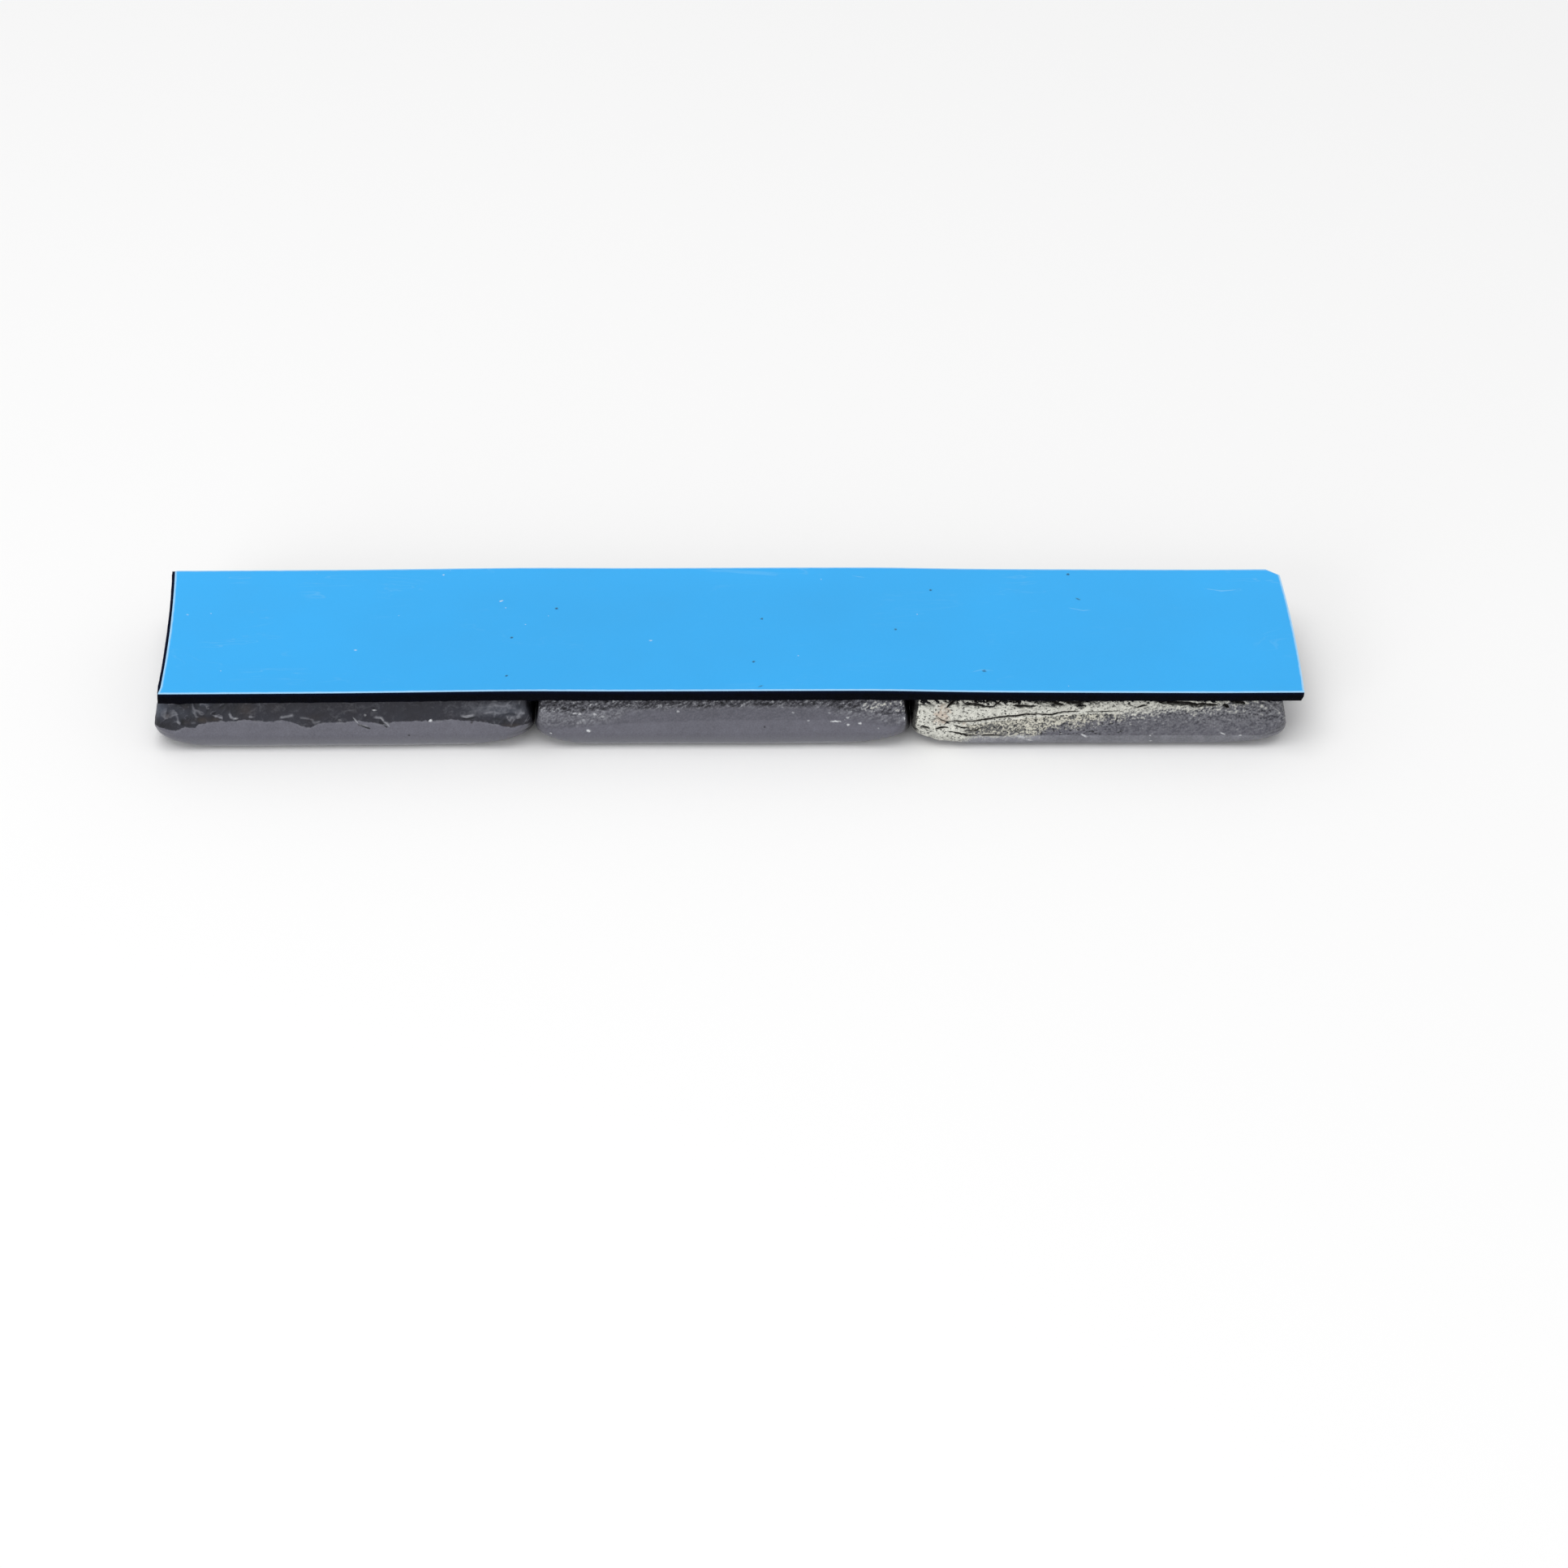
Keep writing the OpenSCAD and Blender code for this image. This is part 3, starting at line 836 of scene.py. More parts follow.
def wrinkled_lead(finish):
    """Grey coat; near the tape a dull, dark, smeared zone above a ragged edge with a painted highlight."""
    graph = new_material("wrinkled_lead")
    paint, roughness, bump = coat_layers(graph, finish)
    edge = graph.field("zone") + graph.noise(0.6, 4, 0.65) * 0.5
    band = edge.ease(-0.07, 0.07)
    # Painted highlight: a thin bright line along the ragged edge, mostly just below it.
    painted_lip_highlight = edge.ease(-0.3, -0.05) * edge.ease(0.12, -0.02)
    flow = graph.noise(3.2, 4, 0.6, 1.2, graph.stretched(1.7, 1, 1))
    smear = graph.noise(0.7, 3, 0.6, 0.8, graph.stretched(1.4, 1, 1, 20))
    grain = graph.noise(0.25, 2, 0.55)
    hand = graph.field("paint")
    tone = flow * 0.5 + smear * 0.7 + grain * 0.35 + hand * (smear * 1.5 + 1.4) - 0.03
    tint = graph.field("tint") + graph.noise(1.6, 3) * 0.4 - 0.05
    scuffed = graph.layers(
        graph.mix(tone, finish.scuff, finish.ridge),
        (-tone, finish.groove),
        (tint * 0.85, finish.rust),
        (-tint * 0.85, finish.haze),
    )
    paint = graph.layers(
        paint,
        (band, scuffed),
        (abs(hand).ease(0.25, 0.7) * (1 - band), scuffed),
        (painted_lip_highlight * smear.ease(-0.05, 0.15) * 0.35, finish.ridge),
    )
    bump = bump + band * (flow * 0.8 + smear * 1.3 + grain * 0.7) + hand
    return lead_surface(graph, finish, paint, roughness + band * 0.1, bump, depth=0.07, dull=band * 0.8)


def gritty_lead(finish):
    """Grey coat with dark and bright grains near the tape, over a faint lower step in its tone."""
    graph = new_material("gritty_lead")
    paint, roughness, bump = coat_layers(graph, finish)
    grit = graph.field("grit")
    thin = graph.field("thin")
    step = (graph.field("step") + graph.noise(1.2, 3) * 0.4).ease(-0.12, 0.16)
    worms = graph.noise(0.24, 1.0, 0.5, 0.3, graph.stretched(2.1, 1, 1, 30))
    seeds = graph.noise(0.2, 1.0, 0.5, 0.2)
    hand = graph.field("paint")
    warm = graph.field("spark")
    tone = worms * 3.8 + seeds * 2.6 + hand + warm * 0.2
    mottled = graph.mix(tone * 0.6 + 0.4, scaled(finish.coat, 0.62), finish.ridge)
    grainy = graph.layers(
        graph.mix(tone + 0.1, scaled(finish.coat, 0.5), finish.ridge),
        (-tone - 0.1, finish.groove),
        ((tone - 0.8) * 1.2, graph.mix(warm, finish.chip_and_edge_highlight, finish.bare)),
    )
    paint = graph.layers(
        paint,
        (step * (0.2 - tone * 0.16), finish.scuff),
        ((thin + seeds * thin).larger(0), mottled),
        ((grit * 1.1 + seeds * grit).larger(0), grainy),
        (abs(hand).ease(0.3, 0.8) * (1 - grit), grainy),
        # Painted shade where the casting faces its neighbour.
        (graph.field("gap_shade") * 0.85, finish.groove),
    )
    grip = grit.larger(thin * 0.4)
    bump = bump + grip * (worms * 3.0 + seeds * 2.0) + hand * 0.6
    return lead_surface(graph, finish, paint, roughness + grip * 0.16, bump, depth=0.08, dull=grip * 0.8)


def whitened_lead(finish):
    """Lead whose coat is gone: a cream crust with black specks, stains and open cracks, on worn lead."""
    graph = new_material("whitened_lead")
    paint, roughness, bump = coat_layers(graph, finish)
    hand = graph.field("paint")
    worn = graph.field("worn")
    clouds = graph.noise(1.3, 3, 0.6)
    worms = graph.noise(0.26, 1.0, 0.5, 0.3, graph.stretched(1.8, 1, 1, 20))
    seeds = graph.noise(0.2, 1.0, 0.5, 0.2)
    grit = worms * 3.2 + seeds * 3.0
    tone = grit + hand
    smooth = (graph.field("band") + graph.noise(0.9, 3) * 0.25).ease(-0.06, 0.06)
    pale = (graph.field("bare") + clouds * 1.5).ease(-1.7, 0.3)
    band = graph.shades(clouds * 1.4 + seeds * 1.2 + pale + 0.3, finish.band, 0.62, 1.25)
    share = tone * 0.6 + 0.3 + worn * 0.25 + pale * 0.25
    grainy = graph.layers(
        graph.mix(share, scaled(finish.coat, 0.5), finish.grain),
        (-tone - 0.35, finish.groove),
        ((tone * 0.8 - 0.75 + worn * 0.3 + pale * 0.6) * 0.9, finish.bare),
    )

    crust = (graph.field("bare") * 0.7 + clouds + grit * 0.35).ease(-0.55, 0.4)
    stain = (graph.field("stain") + graph.noise(0.55, 3, 0.6) * 2.4).ease(0.5, 1.3)
    dull = (graph.field("dull") + graph.noise(0.6, 3) * 0.9).ease(0.3, 0.8)
    share = grit * 1.1 + clouds * 1.2 + 0.6 + hand
    cream = graph.layers(
        graph.mix(clouds * 1.3 + grit * 0.4 + 0.92 + hand, scaled(finish.bare, 0.4), finish.bare),
        (stain * 0.65, finish.stain),
        (dull * 0.85, graph.mix(share, scaled(finish.grain, 0.25), finish.dull)),
    )

    dots = (graph.cells(0.36) + seeds * 0.8).ease(0.26, 0.12) * graph.noise(1.1, 2).ease(-0.16, 0.0)
    crumbs = graph.noise(0.18, 1, 0.5, 0.0, graph.stretched(1.7, 1, 1)).ease(-0.11, -0.17)
    specks = (dots.larger(crumbs) * (crust * 0.75).larger(worn * 0.3)).larger(crumbs * dull * 0.9)
    flake = graph.noise(0.32, 1.4, 0.5, 0.5, graph.stretched(2.2, 1, 1, -28))
    gaps = (flake + clouds * 0.4).ease(0.05, 0.08) * graph.field("flaky")
    halo = (abs(graph.field("line")) + clouds * 0.3).ease(0.3, 0.04)
    crack = graph.line(0.1)
    paint = graph.layers(
        paint,
        (smooth * 0.85, band),
        ((1 - smooth) * (worn * 0.6 + 0.4), grainy),
        (crust, cream),
        (specks.larger(gaps), finish.groove),
        (halo * graph.field("line_width").ease(0.0, 0.05) * 0.35, scaled(finish.dull, 0.3)),
        (crack, scaled(finish.rust, 0.2)),
        # Painted shade where the casting faces its neighbour.
        (graph.field("gap_shade") * 0.9, finish.groove),
    )
    bump = bump + crust * (clouds * 2.0 + seeds * 1.6 + 0.5) + worms * worn * 2.2
    bump = bump - specks - gaps * 3.0 - crack * 2.5
    roughness = roughness + crust * 0.38 + worn * 0.1
    bald = crust.larger(worn * 0.8)
    return lead_surface(graph, finish, paint, roughness, bump, depth=0.09, dull=bald, rubbed=1 - crust)


def foam_material(finish):
    """Black foam with fine closed cells, a little dust and painted blue light from the liner at its top."""
    graph = new_material("black_foam")
    clumps = graph.noise(0.6, 3, 0.6)
    paint = graph.layers(
        graph.shades(clumps * 1.6 + 0.4, finish.foam, 0.3, 1.6),
        # Painted light: navy from the blue film over the top of the foam's sides.
        (graph.field("tint").ease(0.55, 1.0), finish.shade),
        (graph.noise(0.12, 1).ease(0.24, 0.3) * 0.12, FOAM_DUST),
    )
    bump = graph.cells(0.17) + clumps * 1.3
    return graph.surface(paint, 0.85 - clumps * 0.1, bump, depth=0.06, others={"Specular IOR Level": 0.06})


def liner_material(finish):
    """Blue film: slight clouds, a few rubbed lines, dust, dirt, a painted edge highlight, painted shade
    below.
    """
    graph = new_material("blue_film")
    cloud = graph.noise(16.0, 3, 0.5)
    fine = graph.noise(0.35, 3, 0.6)
    wear = graph.field("wear")
    hair = abs(graph.noise(3.2, 3, 0.6, 0.8, graph.stretched(5, 1, 1))).ease(0.012, 0.002)
    hair = hair * graph.noise(9.0, 2).ease(0.0, 0.14) * (wear * 0.3 + 0.06)
    scratch = hair.larger(graph.line(0.04) * 0.5)
    bright, dark = graph.marks()
    # Painted highlight along the film's cut edges.
    rim = (graph.field("rim") + graph.noise(0.9, 3) * 0.12).ease(0.27, 0.08)
    paint = graph.layers(
        graph.shades(cloud * 0.9 + fine * 0.2 + wear * 0.35 + 0.5, finish.liner, 0.93, 1.08),
        (scratch, finish.scratch),
        (bright, finish.speck),
        (dark * 0.8, finish.dirt),
        (graph.cells(3.4).ease(0.026, 0.016) * 0.5, finish.speck),
        (rim * 0.9, finish.rim),
        # Painted shade: the film's underside and the lower half of its cut sides go dark navy.
        (graph.field("under").ease(0.3, 0.8), finish.dirt),
    )
    roughness = cloud * 0.08 + 0.4 + scratch * 0.2 + rim * 0.2
    bump = fine * 0.12 + scratch * 0.5 + bright * 1.5 + dark * 1.2 + graph.noise(4.0, 2) * 0.8
    film = {"IOR": 1.45, "Specular IOR Level": 0.25}
    return graph.surface(paint, roughness, bump, depth=0.02, others=film)


def casting_columns():
    """Columns round a casting: each one's corner, its turn and its share of the side after the corner.

    A quarter turn of each corner is followed by the straight side to the next corner. The front
    side has more columns than the back.
    """
    corner_steps, sides = 46, (160, 100, 320, 100)
    parts = []
    for quarter, steps in enumerate(sides):
        turn = 90 * (quarter + np.arange(corner_steps) / corner_steps)
        parts.append(np.stack([np.full(corner_steps, quarter), turn, np.zeros(corner_steps)]))
        share = np.arange(steps) / steps
        parts.append(np.stack([np.full(steps, quarter), np.full(steps, 90.0 * (quarter + 1)), share]))
    corner, turn, share = np.concatenate(parts, axis=1)
    return corner.astype(int), np.radians(turn), share


def casting_rows(shape, form, top):
    """Rows from the outer face's middle over crown, walls and rim to the tape side's middle.

    Each row has a height, an inset from the widest outline, a left and a right corner and how far
    it is spread from the middle. On the crown at an angle a, the height is crown (1 - cos a), the
    inset is inset (1 - sin a), and the corner goes from the widest line's to the outer face's by
    (1 - sin a) to the casting's own power. On the walls the height and the inset go straight up
    to the rim's, and at a share t of the way up the corner has gone 1 - (1 - t)^5 of its way to
    the tape's. The rim is a quarter round.
    """
    face_rows, crown_rows, wall_rows, rim_rows, tape_rows = 10, 26, 50, 5, 6
    _, waist, left, right, swing = (np.array(part, float) for part in form)
    sizes = (shape.crown_height, shape.crown_inset, shape.draft_inset, shape.rim_radius)
    crown, inset, draft, rim = (size / MM for size in sizes)
    tape = np.array([shape.tape_long, shape.tape_wide]) / MM

    def rows(level, inward, left_corner, right_corner, spread=1.0):
        count = max(np.size(level), np.size(spread))
        columns = [np.reshape(part, (-1, 1)) for part in (level, inward, spread)]
        parts = [np.broadcast_to(column, (count, 1)) for column in columns]
        corners = [np.broadcast_to(part, (count, 2)) for part in (left_corner, right_corner)]
        return np.concatenate(parts + corners, axis=1)

    turn = np.radians(np.linspace(0, 90, crown_rows))
    open_share = ((1 - np.sin(turn)) ** swing)[:, None]
    rise = np.arange(1, wall_rows + 1) / wall_rows
    closing = (1 - (1 - rise) ** 5)[:, None]
    wall_corner = waist + (tape - waist) * closing
    round_turn = np.radians(np.linspace(90 / rim_rows, 90, rim_rows))
    return np.concatenate([
        rows(0.0, inset, left, right, np.arange(1, face_rows + 1) / (face_rows + 1)),
        rows(crown * (1 - np.cos(turn)), inset * (1 - np.sin(turn)),
             waist + (left - waist) * open_share, waist + (right - waist) * open_share),
        rows(crown + (top - rim - crown) * rise, draft * rise, wall_corner, wall_corner),
        rows(top - rim * (1 - np.sin(round_turn)), draft + rim * (1 - np.cos(round_turn)), tape, tape),
        rows(top, draft + rim, tape, tape, 1 - np.arange(1, tape_rows + 1) / (tape_rows + 1)),
    ])


def casting_grid(shape, form, start, end, half_wide, top):
    """Points of a casting: rows up from the outer face, columns round it, from start to end along it.

    On a row, a corner's point is the corner's centre plus its two half axes times the cosine
    and sine of the turn. A side's point lies straight between the ends of its two corners.
    """
    corner, turn, share = casting_columns()
    rows = casting_rows(shape, form, top)
    level, inset, spread = (rows[:, k, None] for k in range(3))
    side_x = np.array([1, -1, -1, 1])
    side_y = np.array([1, 1, -1, -1])
    middle, half_long = (start + end) / 2, (end - start) / 2

    def ends(quarter):
        on_left = side_x[quarter] < 0
        long = np.where(on_left, rows[:, 3, None], rows[:, 5, None])
        wide = np.where(on_left, rows[:, 4, None], rows[:, 6, None])
        x = side_x[quarter] * (half_long - inset - long) + long * np.cos(turn)
        y = side_y[quarter] * (half_wide - inset - wide) + wide * np.sin(turn)
        return x, y

    (x0, y0), (x1, y1) = ends(corner), ends((corner + 1) % 4)
    x = middle + (x0 + (x1 - x0) * share) * spread
    y = (y0 + (y1 - y0) * share) * spread
    return np.stack([x, y, np.broadcast_to(level, x.shape)], axis=-1)


def grid_normals(points):
    """Outward directions: the cross product of the way along a row and the way up the rows."""
    along = np.roll(points, -1, axis=1) - np.roll(points, 1, axis=1)
    up = np.gradient(points, axis=0)
    normal = np.cross(along, up)
    return normal / np.maximum(np.linalg.norm(normal, axis=-1, keepdims=True), 1e-9)


def closed_faces(row_count, column_count):
    """Faces of a closed grid whose first and last points close its two ends."""
    last = row_count * column_count + 1
    column = np.arange(column_count)
    after = (column + 1) % column_count
    start = 1 + column_count * np.arange(row_count - 1)[:, None]
    here, beside = start + column, start + after
    quads = np.stack([here, beside, beside + column_count, here + column_count], -1)
    first = np.stack([np.zeros_like(column), 1 + after, 1 + column], -1)
    top = 1 + column_count * (row_count - 1)
    closing = np.stack([top + column, top + after, np.full_like(column, last)], -1)
    return [quads.reshape(-1, 4), first, closing]


def old_wear(points, seed):
    """Wear that every casting has all round, in millimetres: small pits and folded flow lines.

    A pit is a smooth dip about a random centre whose number is over 0.62. A fold is a groove
    along the crests of noise at places that a slower noise has moved, where a third one is high.
    """
    near, _, number = grains(points, 2.6, seed)
    size = 0.05 + 0.09 * number
    pits = ease(near, size + 0.05, size - 0.03) * (number > 0.62) * 0.16
    warped = points + 1.4 * np.stack([swell(points, 5, seed + k) for k in (1, 2, 3)], -1)
    fold = ridge(swell(warped * [0.35, 0.35, 1.0], 2.4, seed + 4) * 1.8)
    folds = fold * ease(swell(points, 9, seed + 5), -0.1, 0.35) * 0.05
    return -pits - folds


def hand_paint(points, wall, front, strokes, patches, seed):
    """Tone and tint of the listed strokes and patches, with slightly ragged edges, front only."""
    flat = points.reshape(-1, 3)
    ragged = wall + 0.07 * np.stack([rough(flat, 0.7, seed, 2), rough(flat, 0.7, seed + 7, 2)], axis=1)
    tone, tint = painted(ragged, strokes, patches)
    return tone.reshape(front.shape) * front, tint.reshape(front.shape) * front


def edge_level(stops, wall, front, elsewhere):
    """Height of an edge: straight pieces through stops at the front, and another height elsewhere."""
    stops = np.array(stops, float)
    edge = np.interp(wall[:, 0], stops[:, 0], stops[:, 1]).reshape(front.shape)
    return edge * front + elsewhere * (1 - front)


def left_wear(points, wall, front, shape, seed):
    """Smeared folds above a ragged edge that sags towards the left corner.

    The zone is the height over that edge. Above it the surface rises by the wrinkle height times
    the sum of folded crests, noise and the painted tone, cut off at 1.
    """
    level = wall[:, 1].reshape(front.shape)
    zone = level - edge_level(SCUFF_EDGE, wall, front, 3.3 + 0.6 * swell(points, 7, seed))
    tone, tint = hand_paint(points, wall, front, LEFT_STROKES, LEFT_PATCHES, seed + 10)
    warped = points + 0.9 * np.stack([rough(points, 3.2, seed + k, 2) for k in (20, 30, 40)], -1)
    folds = ridge(swell(warped, 1.9, seed + 50) * 1.5) * (1 - 0.7 * front)
    above = ease(zone, -0.1, 0.15)
    tone = tone + (0.4 * rough(warped, 1.8, seed + 55, 4, 0.6) + 0.12 * folds) * (1 - front) * above
    crests = ridge(swell(warped, 0.85, seed + 90) * 1.6)
    smears = 0.35 * rough(points, 1.1, seed + 80, 3, 0.6) + 0.5 * crests - 0.2
    tone = tone + smears * ease(np.abs(points[..., 0] - 2.5), 10.5, 14.5) * front * above
    wrinkle = folds * 0.35 + 0.5 * rough(warped, 1.2, seed + 60, 3) + np.clip(tone, -1, 1)
    rise = above * shape.wrinkle / MM * wrinkle
    return rise, {"zone": zone, "paint": tone, "tint": tint}, LEFT_MARKS


def middle_wear(points, wall, front, shape, seed):
    """Grains that crowd at the tape, reach furthest down near both ends and thin out below.

    Dense and thin grit each set in smoothly over their own edge. The surface rises there by the
    grit height times the sum of short noise, crests and the painted tone.
    """
    level = wall[:, 1].reshape(front.shape)
    along = points[..., 0]
    behind = 4.4 + 0.9 * swell(points, 6, seed)
    core = edge_level(GRIT_CORE, wall, front, behind + 0.6)
    outer = edge_level(GRIT_EDGE, wall, front, behind)
    ragged = level + 0.2 * rough(points, 1.6, seed + 5, 2)
    grit = ease(ragged, core - 0.2, core + 0.3)
    thin = 0.8 * ease(ragged, outer - 0.2, outer + 0.6)
    step = level - edge_level(TONE_STEP, wall, front, 3.3)
    spark = ease(along, 12.5, 16.0) * ease(level, 3.9, 4.9) * front
    tone, _ = hand_paint(points, wall, front, MIDDLE_STROKES, MIDDLE_PATCHES, seed + 10)
    grain = 0.7 * rough(points * [0.7, 0.8, 1], 0.5, seed + 20, 3, 0.7)
    grain = grain + 0.5 * ridge(swell(points, 0.9, seed + 30) * 1.4)
    rise = np.maximum(grit, thin * 0.4) * (grain + tone * 0.6) * shape.grit / MM
    fields = {"grit": grit, "thin": thin, "step": step, "spark": spark, "paint": tone}
    return rise, fields, MIDDLE_MARKS


def right_wear(points, wall, front, shape, seed):
    """A cream crust with open cracks, thick at the left and along the tape, over worn lead.

    The crust rises over its edge by the crust height times plates, which end where two random
    centres are equally near, and lumps of noise. Flakes near the tape add up to 0.22 mm. A crack
    sinks it by up to the crack depth, and less where it is narrow.
    """
    level = wall[:, 1].reshape(front.shape)
    along = points[..., 0]
    signed, width = (part.reshape(front.shape) for part in line_field(wall, CRACKS))
    width = width * front
    behind = 2.5 + 0.22 * (along + 19) + 1.2 * swell(points, 6, seed)
    bare = level - edge_level(CREAM_EDGE, wall, front, behind)
    stain = ease(np.hypot((along + 16.0) / 1.1, (level - 4.2) / 1.5), 1.5, 0.4) * front
    streak = ((along + 13.8) / 1.2) ** 2 + ((level - 3.1) / 0.3) ** 2
    stain = np.maximum(stain, np.exp(-streak) * front)
    main = np.interp(along, *np.transpose(DULL_TOP))
    dull = ease(main - level, 0.0, 0.35) * ease(along, -15.5, -12) * ease(along, 5, 0)
    dull = dull * ease(level, 1.6, 2.1) * front
    worn = ease(level, 1.7, 3.4) * (0.35 + 0.65 * ease(level, 2.8, 5.0))
    tone, _ = hand_paint(points, wall, front, RIGHT_STROKES, RIGHT_PATCHES, seed + 5)
    near, second, number = grains(points * [0.6, 0.8, 1.1], 1.1, seed + 10)
    plates = ease(second - near, 0.02, 0.3) * (0.4 + 0.6 * number)
    crusted = ease(bare, -0.2, 0.5)
    lumps = rough(points, 1.1, seed + 20, 4, 0.6)
    crust = crusted * shape.crust / MM * (0.5 * plates + 0.55 * lumps)
    flaky = ease(level + 0.3 * rough(points, 2.2, seed + 60, 2), 4.9, 5.5) * crusted
    scales = ease(swell(points * [0.7, 1, 1.6], 1.1, seed + 30), -0.1, 0.25)
    flakes = ease(level, 4.6, 5.6) * crusted * 0.22 * scales
    grain = (1 - crusted) * worn * 0.06 * rough(points, 0.6, seed + 40, 3, 0.7)
    shaky = np.abs(signed + 0.05 * rough(points, 0.5, seed + 50, 2))
    crack = ease(shaky, width * 1.3 + 0.04, width * 0.35)
    rise = crust + flakes + grain - crack * ease(width, 0.04, 0.2) * shape.crack_depth / MM
    band = (1.9 - level) * front + (1.6 + 0.4 * swell(points, 5, seed + 7) - level) * (1 - front)
    fields = {
        "bare": bare, "stain": stain, "dull": dull, "worn": worn, "band": band, "paint": tone,
        "line": signed, "line_width": width, "flaky": flaky,
    }
    return rise, fields, RIGHT_MARKS


def build_casting(name, wear, material, shape, seed):
    """One casting in its node's place: the lofted form, pushed along its normals by its wear.

    Front is 1 where the surface faces the front of the strip, and wall holds each point's place
    along and up as the tables of wear give it.
    """
    low, high = node_box(name)
    middle = (low[0] + high[0]) / 2
    past, top = CAST_FORM[name][0], high[2]
    place = casting_grid(shape, CAST_FORM[name], low[0] + past[0], high[0] + past[1], high[1], top)
    points = place - [middle, 0, 0]
    normal = grid_normals(points)
    front = ease(-normal[..., 1], 0.15, 0.5)
    seen = settle(place, top).reshape(-1, 3)
    bend = eased_curve(STRIP_BEND, seen[:, 0])
    wall = np.stack([seen[:, 0] - middle, seen[:, 2] + BEND_AS_HEIGHT * bend], axis=1)

    rise, fields, marks = wear(points, wall, front, shape, seed)
    level = points[..., 2]
    slow = shape.unevenness / MM * (swell(place, 9, seed + 60) + 0.4 * swell(place, 3, seed + 70))
    lifted = ease(level, 0.0, 0.5)
    push = rise + old_wear(points, seed + 80) * (1 - 0.85 * front)
    push = push * (0.15 + 0.85 * lifted) + slow * lifted
    push = push * ease(level, top - 0.02, top - 0.3)
    moved = settle(place + normal * push[..., None], top)
    moved[..., 2] = np.maximum(moved[..., 2], 0)

    mark = mark_field(wall, marks).reshape(points.shape)
    mark[..., 2] *= front
    # Painted shade: sides that face a neighbouring casting get darker, the further they turn sideways.
    left, right = PAINTED_GAP_SHADE[name]
    facing = np.where(normal[..., 0] > 0, right, left)
    gap_shade = facing * ease(np.abs(normal[..., 0]), 0.5, 0.72) * ease(level, 0.8, 1.9)
    fields.update({"height": level, "mark": mark, "gap_shade": gap_shade})
    cloud = np.concatenate([[moved[0].mean(axis=0)], moved.reshape(-1, 3), [moved[-1].mean(axis=0)]])
    whole = {}
    for key, values in fields.items():
        rows = values.reshape(level.size, -1)
        rows = np.concatenate([rows[:1], rows, rows[-1:]])
        whole[key] = rows[:, 0] if rows.shape[1] == 1 else rows
    return make_mesh(name + "_casting", cloud, closed_faces(*level.shape), whole, material)


def slab(along_steps, across_steps, up_steps):
    """The skin of a box cut into steps: shares from 0 to 1 of its corners, and each face's corners.

    Each of the six sides is a grid with one number fixed, and corners that sides share are merged.
    """
    counts = np.array([along_steps, across_steps, up_steps])
    faces = []
    for axis in range(3):
        first, second = [k for k in range(3) if k != axis]
        steps = [np.arange(counts[k]) for k in (first, second)]
        grid = np.stack(np.meshgrid(*steps, indexing="ij"), -1).reshape(-1, 2)
        for level in (0, counts[axis]):
            square = np.zeros((len(grid), 4, 3), int)
            square[..., axis] = level
            for corner, (a, b) in enumerate(((0, 0), (1, 0), (1, 1), (0, 1))):
                square[:, corner, first] = grid[:, 0] + a
                square[:, corner, second] = grid[:, 1] + b
            outward = (level > 0) == (axis != 1)
            faces.append(square if outward else square[:, ::-1])
    corners = np.concatenate(faces).reshape(-1, 3)
    places, index = np.unique(corners, axis=0, return_inverse=True)
    return places / counts, index.reshape(-1, 4)


def crowded(share, strength):
    """Shares from 0 to 1 pulled towards both ends: t - strength sin(2 pi t) / (2 pi)."""
    return share - strength * np.sin(2 * np.pi * share) / (2 * np.pi)


def tape_plan(tape, low, high, along, across, corner=0.0, catch_up=0.0):
    """Place in the tape's outline of shares along and across it, and the distance to its edge.

    Both ends follow the arc of the shear cut, radius - sqrt(radius^2 - (y - peak)^2), and the
    right end also loses its back corner. The left end can have a rounded back corner, and can
    catch up by a length near the front edge.
    """
    radius, peak = tape.cut_radius / MM, tape.cut_peak / MM
    front, back = low[1], high[1]
    y = front + (back - front) * across
    sag = radius - np.sqrt(radius**2 - (y - peak) ** 2)
    left = low[0] + radius - np.sqrt(radius**2 - (back - peak) ** 2)
    turned = np.clip(y - (back - corner), 0, corner)
    start = left - sag + corner - np.sqrt(corner**2 - turned**2)
    start = start - catch_up * ease(y, front + 1.2, front)
    wide, long = tape.lost_wide / MM, tape.lost_long / MM
    end = high[0] - sag - np.clip((y - (back - wide)) / wide, 0, 1) * long
    x = start + (end - start) * along
    edge = np.minimum(np.minimum(y - front, back - y), np.minimum(x - start, end - x))
    return x, y, edge


